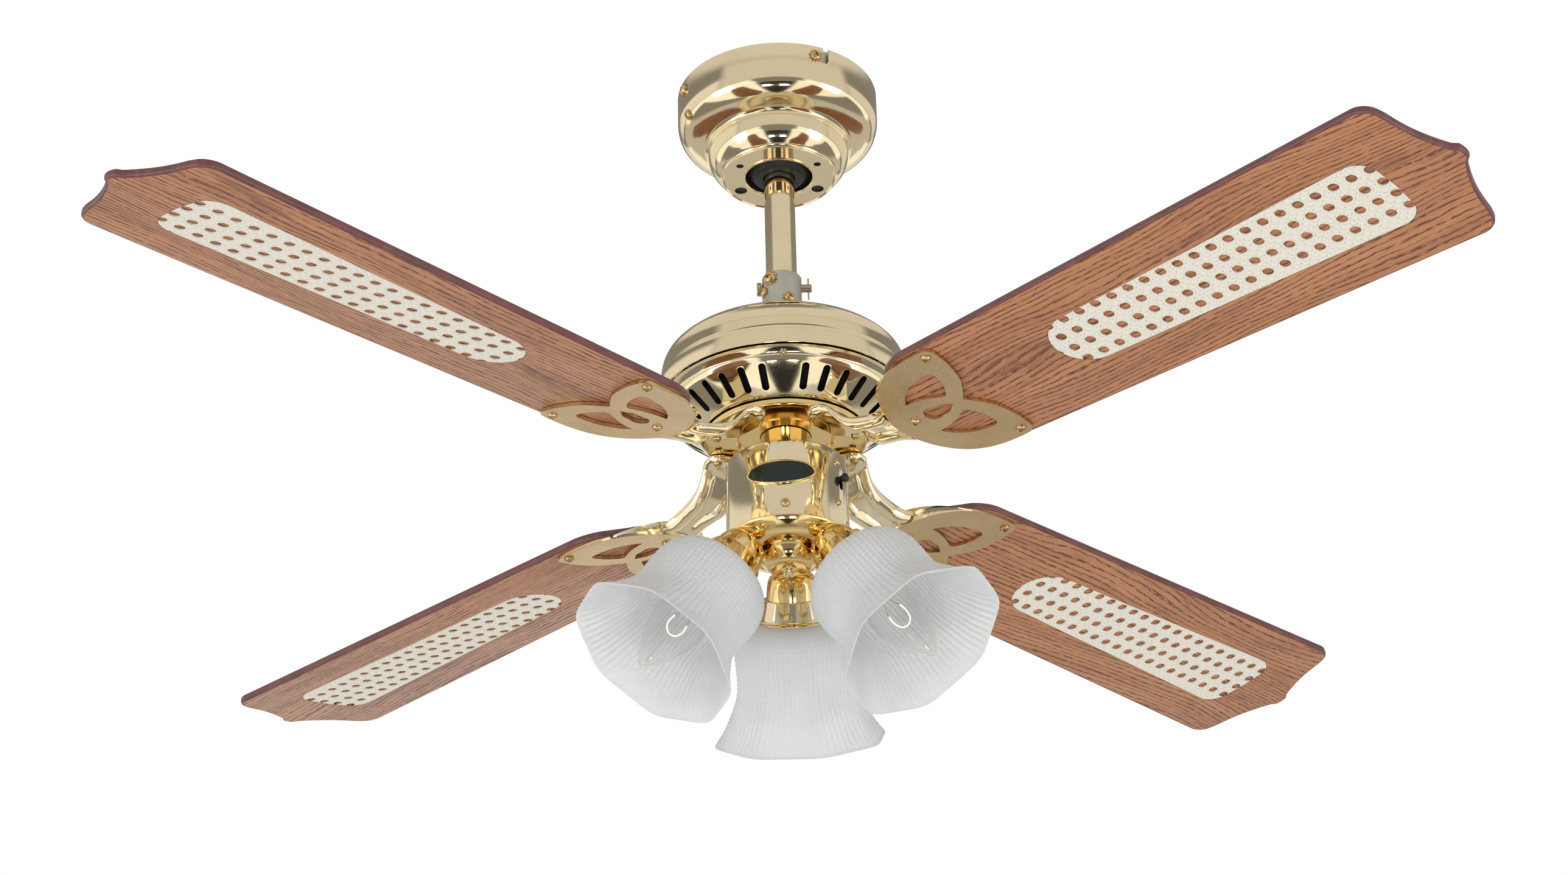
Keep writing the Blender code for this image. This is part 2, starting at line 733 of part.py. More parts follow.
def blades():
    for index in range(BLADE_COUNT):
        number = index + 1
        frame = blade_frame(index)
        wood = flat_solid(f"blade_{number}", [blade_outline()], BLADE_UNDER, BLADE_TOP, frame)
        blade = add_object(f"blade_{number}", wood, WOOD, ROTOR)
        depth = BLADE_UNDER + INLAY_DEPTH + GAP
        pocket = flat_solid(f"pocket_{number}", [inlay_outline()], BLADE_UNDER - 0.002, depth, frame)
        cut(blade, add_object(f"pocket_{number}", pocket))
        low, high = BLADE_UNDER, BLADE_UNDER + INLAY_DEPTH
        cane = flat_solid(f"cane_inlay_{number}", [inlay_outline(GAP)], low, high, frame)
        add_object(f"cane_inlay_{number}", cane, CANE, ROTOR)
        top = BLADE_UNDER - GAP
        plate = flat_solid(
            f"blade_arm_{number}", [plate_outline(), *plate_openings()], top - PLATE_THICKNESS, top, frame
        )
        arm = add_object(f"blade_arm_{number}", plate, SATIN_BRASS, ROTOR)
        join(arm, add_object(f"arm_skin_{number}", arm_skin(index)))


# ---- Switch housing ----
def switch_housing():
    turned(
        "switch_mount",
        [
            (0.0165, -0.2700),
            (0.0165, -0.2862),
            (0.0290, -0.2862),
            (0.0290, -0.2885),
            (0.0380, -0.2885),
            (0.0380, -0.2905),
            (SHAFT_RADIUS + GAP, -0.2905),
            (SHAFT_RADIUS + GAP, -0.2700),
        ],
        BRASS,
        HANGING,
    )
    profile = [
        (0.0295, SWITCH_TOP_Z),
        (SWITCH_RADIUS - 0.0010, SWITCH_TOP_Z),
        (SWITCH_RADIUS, SWITCH_TOP_Z - 0.0010),
        (SWITCH_RADIUS, SWITCH_BOTTOM_Z),
    ]
    housing = shell("switch_housing", profile, 0.0010, BRASS, HANGING, steps=LARGE)
    slot = add_object(
        "knob_slot",
        box_mesh("knob_slot", (KNOB_TRAVEL + 0.0046, 0.0042, 0.008)),
        matrix=radial(KNOB_ANGLE, SWITCH_RADIUS, KNOB_Z - KNOB_TRAVEL / 2),
    )
    cut(housing, slot)
    front = 0.0375  # distance of the switch's front face from the fan's axis
    size = (0.0260, 0.0110, 0.0100)
    seat = radial(KNOB_ANGLE, front - size[2] / 2, KNOB_Z - KNOB_TRAVEL / 2)
    body = box_mesh("reverse_switch_body", size)
    add_object("reverse_switch_body", body, BLACK, HANGING, seat)
    stem_end = front + GAP - SWITCH_RADIUS
    knob = turned(
        "reverse_knob",
        [
            (0, 0.0052),
            (0.0018, 0.0049),
            (0.0030, 0.0034),
            (0.0030, 0.0018),
            (0.0016, 0.0006),
            (0.0016, stem_end),
            (0, stem_end),
        ],
        BLACK,
        HANGING,
        radial(KNOB_ANGLE, SWITCH_RADIUS, KNOB_Z),
        steps=SMALL,
    )
    smooth(knob)
    capacitor = box_mesh("capacitor", (0.0180, 0.0340, 0.0260))
    capacitor.transform(Matrix.Translation((-0.0185, 0.0, -0.3038)))
    add_object("capacitor", capacitor, BLACK, HANGING)


def badge():
    """A blank oval plaque that follows the housing's wall."""
    bend, thick = SWITCH_RADIUS + GAP, 0.0010
    tall, half_angle = 0.0085, math.radians(31)
    middle_angle, middle_z = math.radians(-95.7), -0.3110
    columns = LARGE // 2
    mesh = bpy.data.meshes.new("badge")
    work = bmesh.new()
    rings = []
    for radius in (bend, bend + thick):
        ring = []
        for i in range(2 * columns):
            a = math.pi * i / columns
            angle = middle_angle + half_angle * math.cos(a)
            point = (radius * math.cos(angle), radius * math.sin(angle), middle_z + tall * math.sin(a))
            ring.append(work.verts.new(point))
        rings.append(ring)
    back, front = rings
    for ring in rings:
        work.faces.new((ring[0], ring[1], ring[-1]))
        for i in range(1, columns - 1):
            work.faces.new((ring[i], ring[i + 1], ring[-i - 1], ring[-i]))
        work.faces.new((ring[columns - 1], ring[columns], ring[columns + 1]))
    for i in range(2 * columns):
        j = (i + 1) % (2 * columns)
        work.faces.new((back[i], back[j], front[j], front[i]))
    bmesh.ops.recalc_face_normals(work, faces=work.faces)
    work.to_mesh(mesh)
    work.free()
    add_object("badge", mesh, BLACK, HANGING)


# ---- Light kit ----
NOZZLE_END = 0.1090  # distances along a lamp's axis, from its shade's rim
NOZZLE_MOUTH = 0.0953


def lamp_frame(index):
    """Origin at the centre of the shade's rim, with +Z back along the lamp's axis towards the hub."""
    angle = LAMP_FIRST + index * 2 * math.pi / LAMP_COUNT
    out = Vector((math.cos(angle), math.sin(angle), 0))
    up = Vector((0, 0, 1))
    back = math.sin(LAMP_TILT) * up - math.cos(LAMP_TILT) * out
    across = up.cross(out)
    rotation = Matrix((across.cross(back), across, back)).transposed().to_4x4()
    return Matrix.Translation(out * RIM_CENTRE_R + up * RIM_CENTRE_Z) @ rotation


def nozzles(name, clearance):
    """The three short barrels that carry the lamp cups, or cutters a clearance wider than them."""
    profile = [
        (0, NOZZLE_END + clearance),
        (0.0110 + clearance, NOZZLE_END + clearance),
        (0.0150 + clearance, 0.1068),
        (0.0162 + clearance, 0.1035),
        (0.0160 + clearance, 0.0985),
        (0.0170 + clearance, NOZZLE_MOUTH),
        (0, NOZZLE_MOUTH),
    ]
    return [turned(f"{name}_{i + 1}", profile, matrix=lamp_frame(i)) for i in range(LAMP_COUNT)]


def light_kit_body():
    """The shallow pan that closes the switch housing, the hub with its three nozzles, and the finial."""
    rim = SWITCH_RADIUS + 0.0006
    pan_profile = [
        (rim, SWITCH_BOTTOM_Z - GAP),
        (rim, -0.3418),
        (0.0380, -0.3448),
        (0.0345, -0.3472),
        (0.0240, -0.3490),
    ]
    pan = shell("light_pan", pan_profile, 0.0008, BRASS, HANGING, steps=LARGE)
    cut(pan, *nozzles("nozzle_clearance", 0.0004))
    hub = turned(
        "light_hub",
        [
            (0.0225, -0.3450),
            (0.0232, -0.3494),
            (0.0280, -0.3496),
            (0.0280, -0.3520),
            (0.0255, -0.3550),
            (0.0180, -0.3575),
            (0.0050, -0.3585),
            (0.0050, -0.3555),
            (0.0180, -0.3540),
            (0.0215, -0.3510),
        ],
        BRASS,
        HANGING,
    )
    join(hub, *nozzles("nozzle", 0.0))
    finial = [
        (0, -0.3530),
        (0.0045, -0.3530),
        (0.0045, -0.3588),
        (0.0068, -0.3588),
        (0.0068, -0.3605),
        (0.0042, -0.3622),
        (0.0034, -0.3650),
        (0, -0.3662),
    ]
    turned("finial", finial, BRASS, HANGING, steps=SMALL)


# Profiles of one lamp, as (radius, distance from the rim's plane along the lamp's axis).
CUP_TOP = 0.0950
CUP_PROFILE = [(0.0060, CUP_TOP), (0.0150, CUP_TOP), (0.0182, 0.0925), (0.0208, 0.0830), (0.0232, 0.0802)]
SHADE_WALL = 0.0022
SHADE_PROFILE = [
    (0.0168, 0.0895),
    (0.0174, 0.0795),
    (0.0330, 0.0765),
    (0.0385, 0.0685),
    (0.0395, 0.0560),
    (0.0387, 0.0360),
    (0.0435, 0.0200),
    (RIM_RADIUS, 0.0),
]
SOCKET_BORE = 0.0074
SOCKET_PROFILE = [
    (0, 0.0938),
    (0.0130, 0.0938),
    (0.0130, 0.0620),
    (SOCKET_BORE, 0.0620),
    (SOCKET_BORE, 0.0860),
    (0, 0.0860),
]
CAP_RADIUS = 0.0069  # of the lamp's screw cap
BULB_PROFILE = [
    (0, 0.0855),
    (CAP_RADIUS, 0.0855),
    (CAP_RADIUS, 0.0600),
    (0.0090, 0.0560),
    (0.0150, 0.0460),
    (0.0172, 0.0340),
    (0.0156, 0.0180),
    (0.0106, 0.0035),
    (0.0050, -0.0075),
    (0.0015, -0.0113),
    (0, -0.0115),
]


def lamps():
    for index in range(LAMP_COUNT):
        number, frame = index + 1, lamp_frame(index)
        shell(f"lamp_cup_{number}", CUP_PROFILE, 0.0008, BRASS, HANGING, frame)
        smooth(shell(f"shade_{number}", SHADE_PROFILE, SHADE_WALL, GLASS, HANGING, frame))
        turned(f"lamp_socket_{number}", SOCKET_PROFILE, WHITE, HANGING, frame, steps=SMALL)
        smooth(turned(f"bulb_{number}", BULB_PROFILE, CLEAR, HANGING, frame, steps=SMALL))


hanger_bracket()
ball_seat()
canopy()
canopy_screws()
terminal_block()
coupling_fasteners(hanger())
motor_covers()
motor_core()
rotor_case()
blades()
switch_housing()
badge()
light_kit_body()
lamps()
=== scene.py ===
"""The looks of a ceiling fan with a three-lamp light kit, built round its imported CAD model. Lengths are in
metres, in the CAD's own frame: the origin is on the fan's axis in the plane of the ceiling, with +Z up."""

import math

import bmesh
import bpy
from mathutils import Matrix, Vector
from mathutils.geometry import tessellate_polygon


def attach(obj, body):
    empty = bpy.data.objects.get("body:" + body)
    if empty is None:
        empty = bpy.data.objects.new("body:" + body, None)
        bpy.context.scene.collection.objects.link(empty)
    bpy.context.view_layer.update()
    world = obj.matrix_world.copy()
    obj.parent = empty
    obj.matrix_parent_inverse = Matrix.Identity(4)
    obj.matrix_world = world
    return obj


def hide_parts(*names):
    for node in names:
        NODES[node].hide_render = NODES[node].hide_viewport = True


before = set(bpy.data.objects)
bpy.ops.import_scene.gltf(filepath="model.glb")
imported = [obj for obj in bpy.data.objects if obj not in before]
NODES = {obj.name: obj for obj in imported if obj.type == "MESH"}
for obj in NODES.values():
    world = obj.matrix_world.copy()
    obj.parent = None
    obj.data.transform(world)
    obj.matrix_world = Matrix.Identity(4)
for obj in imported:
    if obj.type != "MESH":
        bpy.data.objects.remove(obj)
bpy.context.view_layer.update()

MOUNT, HANGING, ROTOR, SWITCH = "ceiling_mount", "hanging", "rotor", "reverse_switch"
SHEET, THIN_SHEET = 0.0010, 0.0008  # the pressed brass's thickness
CANOPY_R, CANOPY_SCREW_Z = 0.0683, -0.0085
CANOPY_SCREWS = (("front", -67), ("right", 23), ("back", 113), ("left", 203))
KEYHOLE_ANGLE = -61.0
BALL_CENTRE = Vector((0, 0, -0.045))
BALL_R, SEAT_R = 0.026, 0.0265
COLLAR_R, COUPLING_Z, COUPLING_HOLE_R = 0.0132, -0.1525, 0.00305
SET_SCREWS = (("upper", -125, -0.1500, 15, 0.0042), ("lower", -68, -0.1660, 40, 0.0036))
HANGER_HOLE_R = 0.0033
ARM_PAD_Z = -0.2696
BLADE_PLANE_Z, BLADE_PITCH = -0.295, -10.4
BLADE_ANGLES = [-44.15 + 90 * i for i in range(4)]
BLADE_LOW, BLADE_HIGH, INLAY_DEPTH = -0.0020, 0.0030, 0.0012
PLATE_LOW, PLATE_HIGH = -0.0048, -0.0023
INLAY_END_R = 0.479
CANE_PITCH, CANE_HOLE_R = 0.01235, 0.0034
LINE_SPACING = 0.0040  # between the veneer's lines of pores
CAN_R, CAN_SCREW_Z, KNOB_ANGLE = 0.0396, -0.3330, -29
LAMP_ANGLES = [-152.7 + 120 * i for i in range(3)]
LAMP_TILT = 53.3
RIM_CENTRE_R, RIM_CENTRE_Z = 0.0964, -0.4378
SHADE_TURNS = (15, 34, 16)  # of each shade's corners about its own axis
THUMB_TURNS = (45, 324, 173)
RIBS = 72


# ---- Materials ----
class Nodes:
    """A node tree, with short ways to add to it. A value is a number, a colour or another node's output."""

    def __init__(self, tree):
        self.tree = tree

    def feed(self, socket, value):
        if isinstance(value, bpy.types.NodeSocket):
            self.tree.links.new(value, socket)
        elif socket.type == "RGBA":
            socket.default_value = (*value, 1.0)
        else:
            socket.default_value = value

    def fill(self, node, **settings):
        """Sets a node's inputs by name, and its properties."""
        for key, value in settings.items():
            socket = node.inputs.get(key.replace("_", " "))
            if socket:
                self.feed(socket, value)
            else:
                setattr(node, key, value)
        return node

    def add(self, kind, **settings):
        return self.fill(self.tree.nodes.new("ShaderNode" + kind), **settings)

    def calc(self, kind, *values):
        node = self.add("Math", operation=kind)
        for socket, value in zip(node.inputs, values):
            self.feed(socket, value)
        return node.outputs[0]

    def split(self, vector):
        return self.add("SeparateXYZ", Vector=vector).outputs

    def place(self, scale=(1, 1, 1)):
        """Where a point lies on the object, scaled."""
        coords = self.add("TexCoord")
        return self.add("Mapping", Vector=coords.outputs["Object"], Scale=scale).outputs[0]

    def board(self, shift=0.0, scale=(1, 1, 1)):
        """Where a point lies on its blade: metres along it and across it, from the blade's own flat map."""
        flat = self.add("UVMap", uv_map="board").outputs["UV"]
        offset = (shift * scale[0], shift * 0.37 * scale[1], 0)
        return self.add("Mapping", Vector=flat, Location=offset, Scale=scale).outputs[0]

    def noise(self, vector, scale, detail=4.0, roughness=0.55):
        node = self.add("TexNoise", Vector=vector, Scale=scale, Detail=detail, Roughness=roughness)
        return node.outputs["Fac"]

    def ramp(self, value, *stops):
        """A colour ramp of (position, colour or grey) stops."""
        node = self.add("ValToRGB", Fac=value)
        elements = node.color_ramp.elements
        while len(elements) < len(stops):
            elements.new(0.5)
        for element, (position, colour) in zip(elements, stops):
            element.position = position
            element.color = (*(colour if isinstance(colour, tuple) else (colour,) * 3), 1.0)
        return node.outputs["Color"]

    def blend(self, share, first, second, kind="MIX"):
        node = self.add("Mix", data_type="RGBA", blend_type=kind)
        for index, value in ((0, share), (6, first), (7, second)):
            self.feed(node.inputs[index], value)
        return node.outputs[2]

    def bump(self, height, strength, depth):
        return self.add("Bump", Height=height, Strength=strength, Distance=depth).outputs["Normal"]

    def band(self, value, low, high, soft):
        """1 between low and high, falling to 0 over a soft margin outside them."""
        sides = []
        for start, end, share in ((low - soft, low, 0.0), (high, high + soft, 1.0)):
            side = self.add("MapRange", interpolation_type="SMOOTHSTEP", Value=value)
            self.fill(side, From_Min=start, From_Max=end, To_Min=share, To_Max=1.0 - share)
            sides.append(side.outputs["Result"])
        return self.calc("MULTIPLY", *sides)


class Look(Nodes):
    """A procedural material in the making: the nodes that feed its Principled shader."""

    def __init__(self, name, **inputs):
        self.material = bpy.data.materials.new(name)
        self.material.use_nodes = True
        super().__init__(self.material.node_tree)
        self.done(**inputs)

    def done(self, **inputs):
        self.fill(self.tree.nodes["Principled BSDF"], **inputs)
        return self.material


def metal(name, bright, dull, rough, spread, grain=(900, 900, 900), strength=0.03):
    """A plated or bare metal whose tone and gloss drift a little, with fine polishing marks."""
    look = Look(name, Metallic=1.0)
    cloud = look.noise(look.place(), 38.0, 3.0)
    marks = look.noise(look.place(grain), 1.0, 3.0)
    return look.done(Base_Color=look.ramp(cloud, (0.35, bright), (0.7, dull)),
                     Roughness=look.ramp(marks, (0.3, rough), (0.75, rough + spread)),
                     Normal=look.bump(marks, strength, 0.00004))


def plastic(name, colour, rough, speck=0.02):
    """Moulded plastic with a fine texture and slightly uneven gloss."""
    look = Look(name, IOR=1.47)
    cloud = look.noise(look.place(), 60.0, 3.0)
    grain = look.noise(look.place(), 2400.0, 2.0)
    lighter = tuple(min(1.0, c * 1.2 + speck) for c in colour)
    return look.done(Base_Color=look.ramp(cloud, (0.3, colour), (0.75, lighter)),
                     Roughness=look.ramp(grain, (0.3, rough), (0.7, rough + 0.12)),
                     Normal=look.bump(grain, 0.12, 0.0001))


def oak(name, seed):
    """Varnished oak veneer: thin dark lines of pores that run along the blade, broken into dashes."""
    look = Look(name, Coat_Weight=0.2, Coat_Roughness=0.3)
    calc = look.calc

    def centred(value, amount):
        return calc("MULTIPLY", calc("SUBTRACT", value, 0.5), amount)

    def step(value, low, high):
        return look.ramp(value, (low, 0.0), (high, 1.0))

    along, across, _ = look.split(look.board())
    slow = centred(look.noise(look.board(seed, (3.2, 11, 1)), 1.0, 2.0), 0.050)
    ripple = centred(look.noise(look.board(seed, (38, 30, 1)), 1.0, 2.0), 0.0022)
    bent = calc("ADD", across, calc("ADD", slow, ripple))
    off_line = calc("SUBTRACT", calc("FRACT", calc("MULTIPLY", bent, 1 / LINE_SPACING)), 0.5)

    def drawn_out(reach, spread, detail, roughness=0.55):
        """Noise drawn out along the bent lines."""
        x, y = calc("MULTIPLY", along, reach), calc("MULTIPLY", bent, spread)
        return look.noise(look.add("CombineXYZ", X=x, Y=y, Z=seed).outputs[0], 1.0, detail, roughness)

    reach = calc("MULTIPLY_ADD", drawn_out(16, 190, 2.0), 0.56, -0.09)
    core = calc("SUBTRACT", reach, calc("ABSOLUTE", off_line))
    core = step(calc("ADD", core, 0.5), 0.50, 0.56)
    dashes = step(drawn_out(150, 1500, 2.0), 0.42, 0.50)
    fine = step(drawn_out(40, 1500, 3.0, 0.6), 0.54, 0.68)
    dense = step(drawn_out(7, 42, 1.0), 0.52, 0.74)
    streaks = step(drawn_out(40, 700, 3.0, 0.65), 0.46, 0.60)
    pores = calc("MULTIPLY", calc("MULTIPLY", core, dashes), 0.92)
    heavy = calc("MULTIPLY", calc("MULTIPLY", dense, streaks), 0.85)
    dark = calc("MAXIMUM", calc("MAXIMUM", pores, calc("MULTIPLY", fine, 0.45)), heavy)
    ground = look.ramp(drawn_out(6, 90, 3.0), (0.3, (0.54, 0.235, 0.105)), (0.55, (0.48, 0.200, 0.087)),
                       (0.75, (0.39, 0.156, 0.065)))
    return look.done(Base_Color=look.blend(dark, ground, (0.125, 0.040, 0.020)),
                     Roughness=look.ramp(dark, (0.0, 0.34), (1.0, 0.55)),
                     Normal=look.bump(calc("MULTIPLY", dark, -1.0), 0.2, 0.0002))


def edge_lacquer():
    """The dark red lacquer on the blades' edges."""
    look = Look("edge_lacquer", Coat_Weight=0.3, Coat_Roughness=0.2)
    cloud = look.noise(look.board(0.0, (60, 200, 1)), 1.0, 3.0)
    return look.done(Base_Color=look.ramp(cloud, (0.3, (0.130, 0.036, 0.038)), (0.7, (0.21, 0.075, 0.072))),
                     Roughness=look.ramp(cloud, (0.3, 0.30), (0.7, 0.45)),
                     Normal=look.bump(cloud, 0.15, 0.0003))


def cane():
    """Ivory cane: a faint close weave, with specks of shadow where its strands cross."""
    look = Look("woven_cane")

    def wave(angle, pitch):
        turn = look.add("Mapping", Vector=look.board(), Rotation=(0, 0, math.radians(angle)))
        turns = look.calc("MULTIPLY_ADD", look.split(turn.outputs[0])["Y"], 2 * math.pi / pitch, 0.0)
        return look.calc("MULTIPLY_ADD", look.calc("SINE", turns), 0.5, 0.5)

    def crossed(first, second, pitch):
        return look.calc("MULTIPLY", wave(first, pitch), wave(second, pitch))

    slanted = crossed(45, -45, CANE_PITCH / 2.83)
    missing = look.noise(look.board(0.0, (420, 420, 1)), 1.0, 1.0)
    kept = look.ramp(missing, (0.42, 0.75), (0.55, 1.0))
    specks = look.calc("MULTIPLY", crossed(0, 90, CANE_PITCH / 4), kept)
    tone = look.ramp(specks, (0.0, (0.80, 0.765, 0.665)), (0.78, (0.77, 0.735, 0.635)),
                     (0.92, (0.36, 0.43, 0.43)))
    shade = look.ramp(slanted, (0.0, 0.93), (0.35, 1.0))
    return look.done(Base_Color=look.blend(1.0, tone, shade, "MULTIPLY"),
                     Roughness=look.ramp(slanted, (0.0, 0.65), (1.0, 0.48)),
                     Normal=look.bump(look.calc("SUBTRACT", slanted, specks), 0.18, 0.0003))


def frosted():
    """Acid-frosted pressed glass: milky and a little see-through, with a faint painted glow."""
    look = Look("frosted_glass", Transmission_Weight=0.5, IOR=1.45, Emission_Color=(0.93, 0.97, 1.0),
                Emission_Strength=0.05)
    cloud = look.noise(look.place(), 45.0, 3.0)
    grain = look.noise(look.place(), 1500.0, 3.0)
    return look.done(Base_Color=look.ramp(cloud, (0.3, (0.90, 0.91, 0.92)), (0.7, (0.95, 0.96, 0.97))),
                     Roughness=look.ramp(grain, (0.3, 0.34), (0.7, 0.50)),
                     Normal=look.bump(grain, 0.2, 0.0002))


def clear_glass():
    look = Look("clear_glass", Transmission_Weight=1.0, IOR=1.45, Base_Color=(0.98, 0.98, 0.97))
    cloud = look.noise(look.place(), 90.0, 2.0)
    return look.done(Roughness=look.ramp(cloud, (0.3, 0.0), (0.8, 0.03)))


def filament_glow():
    look = Look("filament", Base_Color=(1.0, 0.8, 0.5), Emission_Strength=5.0)
    coil = look.noise(look.place(), 2200.0, 2.0)
    return look.done(Emission_Color=look.ramp(coil, (0.2, (1.0, 0.72, 0.36)), (0.8, (1.0, 0.92, 0.72))))


def pale_floor():
    look = Look("pale_floor", Roughness=0.8, Emission_Color=(1.0, 0.99, 0.98), Emission_Strength=0.45)
    cloud = look.noise(look.place(), 0.8, 3.0)
    return look.done(Base_Color=look.ramp(cloud, (0.3, (0.78, 0.77, 0.75)), (0.7, (0.82, 0.81, 0.79))))


POLISHED = metal("polished_brass", (0.90, 0.79, 0.56), (0.86, 0.75, 0.51), 0.06, 0.07)
# A deeper amber copy of the polished brass, with the amber of reflections between concave parts painted in.
BRASS_PAINTED_AMBER = metal("brass_painted_amber", (0.90, 0.69, 0.33), (0.86, 0.63, 0.27), 0.07, 0.08)
SATIN = metal("satin_brass", (0.74, 0.56, 0.33), (0.66, 0.48, 0.27), 0.24, 0.12, strength=0.05)
SCREW_BRASS = metal("screw_brass", (0.74, 0.56, 0.32), (0.52, 0.36, 0.18), 0.20, 0.15)
ZINC = metal("zinc_steel", (0.62, 0.62, 0.54), (0.48, 0.50, 0.45), 0.34, 0.18, (500, 500, 1400), 0.10)
PIN_STEEL = metal("pin_steel", (0.66, 0.56, 0.40), (0.42, 0.33, 0.22), 0.22, 0.18)
IRON = metal("laminated_iron", (0.035, 0.035, 0.037), (0.02, 0.02, 0.02), 0.55, 0.2, (200, 200, 9000), 0.3)
COPPER = metal("copper_winding", (0.55, 0.22, 0.09), (0.34, 0.12, 0.05), 0.3, 0.15, (400, 400, 2600), 0.4)
BLACK = plastic("black_plastic", (0.012, 0.014, 0.014), 0.42, 0.006)
ENAMEL = plastic("plaque_enamel", (0.006, 0.014, 0.014), 0.12, 0.002)
WHITE = plastic("white_plastic", (0.72, 0.71, 0.66), 0.32)
OAK = [oak(f"oak_veneer_{i + 1}", seed) for i, seed in enumerate((0.0, 3.1, 7.7, 12.4))]
EDGE, CANE, FROSTED, CLEAR, GLOW = edge_lacquer(), cane(), frosted(), clear_glass(), filament_glow()

SLOTS = {  # the CAD's material slot that each material stands for
    POLISHED: "polished_brass", BRASS_PAINTED_AMBER: "polished_brass", SCREW_BRASS: "polished_brass", SATIN: "satin_brass",
    ZINC: "zinc_steel", PIN_STEEL: "zinc_steel", BLACK: "black_plastic", ENAMEL: "black_plastic",
    WHITE: "white_plastic", CANE: "woven_cane", FROSTED: "frosted_glass", CLEAR: "clear_glass",
    GLOW: "clear_glass", **dict.fromkeys(OAK, "oak_veneer"),
}


# ---- Lines and places ----
def polar(radius, radians, centre=(0.0, 0.0)):
    return centre[0] + radius * math.cos(radians), centre[1] + radius * math.sin(radians)


def circle(radius, count=32, centre=(0.0, 0.0)):
    return [polar(radius, 2 * math.pi * k / count, centre) for k in range(count)]


def arc(centre, radius, start, end, count):
    angles = [start + (end - start) * i / (count - 1) for i in range(count)]
    return [polar(radius, math.radians(a), centre) for a in angles]


def rectangle(x0, y0, x1, y1):
    return [(x0, y0), (x1, y0), (x1, y1), (x0, y1)]


def long_hole(half, radius):
    """A slot with round ends, whose centres are at half its length either way along X."""
    return arc((half, 0), radius, -90, 90, 9) + arc((-half, 0), radius, 90, 270, 9)


def mirrored(half):
    """A closed outline from its upper half, which starts and ends on the X axis."""
    return half + [(x, -y) for x, y in reversed(half[1:-1])]


def spline(points, samples=6):
    """A smooth line through points, as a Catmull-Rom curve."""
    if len(points) < 3:
        return list(points)
    points = [Vector(p) for p in points]
    ends = [2 * points[0] - points[1], *points, 2 * points[-1] - points[-2]]
    line = []
    for before, start, end, after in zip(ends, ends[1:], ends[2:], ends[3:]):
        for i in range(samples):
            t = i / samples
            slope = (end - before) * t
            square = (2 * before - 5 * start + 4 * end - after) * t**2
            cube = (3 * start - 3 * end + after - before) * t**3
            line.append(0.5 * (2 * start + slope + square + cube))
    line.append(points[-1])
    return [tuple(p) for p in line]


def route(*segments, samples=6):
    """Segments end to end, each one smoothed on its own, so that the places where they meet stay crisp. Each
    starts where the one before it ends."""
    line, start = [], []
    for segment in segments:
        part = spline([*start, *segment], samples)
        line += part if not line or part[0] != line[-1] else part[1:]
        start = [segment[-1]]
    return line


def direction(line, i, closed=False):
    """The unit vector along a line of points at point i, from the point before it to the one after."""
    count = len(line)
    before, after = (i - 1, (i + 1) % count) if closed else (max(i - 1, 0), min(i + 1, count - 1))
    return Vector([b - a for a, b in zip(line[before], line[after])]).normalized()


def offset(line, step, closed=False):
    """A flat line moved by a step to the right of the way it runs."""
    ways = [direction(line, i, closed) for i in range(len(line))]
    return [(x + way.y * step, y - way.x * step) for (x, y), way in zip(line, ways)]


def walled(outer, wall=SHEET):
    """A closed ring profile: the outer line, and the same line set inwards by the wall."""
    return outer + offset(outer, wall)[::-1]


def eased(points, radius, steps=3):
    """A closed profile with its corners rounded."""
    line = []
    for i, point in enumerate(points):
        corner = Vector(point)
        to_before, to_after = Vector(points[i - 1]) - corner, Vector(points[(i + 1) % len(points)]) - corner
        if to_before.angle(to_after, math.pi) > math.radians(150):
            line.append(tuple(corner))
            continue
        reach = min(radius, to_before.length * 0.45, to_after.length * 0.45)
        start, end = corner + to_before.normalized() * reach, corner + to_after.normalized() * reach
        for k in range(steps + 1):
            t = k / steps
            line.append(tuple(start.lerp(corner, t).lerp(corner.lerp(end, t), t)))
    return line


def smoothstep(low, high, value):
    t = min(max((value - low) / (high - low), 0.0), 1.0)
    return t * t * (3 - 2 * t)


def shift(x, y, z):
    return Matrix.Translation((x, y, z))


def spin(angle, axis="Z"):
    return Matrix.Rotation(math.radians(angle), 4, axis)


def radial(angle, radius, height, turn=0.0):
    """Local +Z points outwards at this angle round the axis, and local +X down."""
    out, down = Vector((*polar(1.0, math.radians(angle)), 0)), Vector((0, 0, -1))
    axes = Matrix((down, out.cross(down), out)).transposed().to_4x4()
    return Matrix.Translation(out * radius + Vector((0, 0, height))) @ axes @ spin(turn)


# ---- Meshes ----
def shaded(mesh, sharp=38):
    """The mesh with smooth shading, except across edges that turn by more than the sharp angle."""
    mesh.shade_smooth()
    mesh.set_sharp_from_angle(angle=math.radians(sharp))
    return mesh


def mesh_of(work, sharp=38):
    """A shaded mesh from bmesh work, with its faces turned outwards."""
    bmesh.ops.recalc_face_normals(work, faces=work.faces)
    mesh = bpy.data.meshes.new("mesh")
    work.to_mesh(mesh)
    work.free()
    return shaded(mesh, sharp)


def closed_mesh(verts, faces, sharp):
    """A mesh from corners and faces, with corners at the same spot joined."""
    mesh = bpy.data.meshes.new("corners")
    mesh.from_pydata(verts, [], faces)
    work = bmesh.new()
    work.from_mesh(mesh)
    bpy.data.meshes.remove(mesh)
    bmesh.ops.remove_doubles(work, verts=work.verts, dist=1e-7)
    return mesh_of(work, sharp)


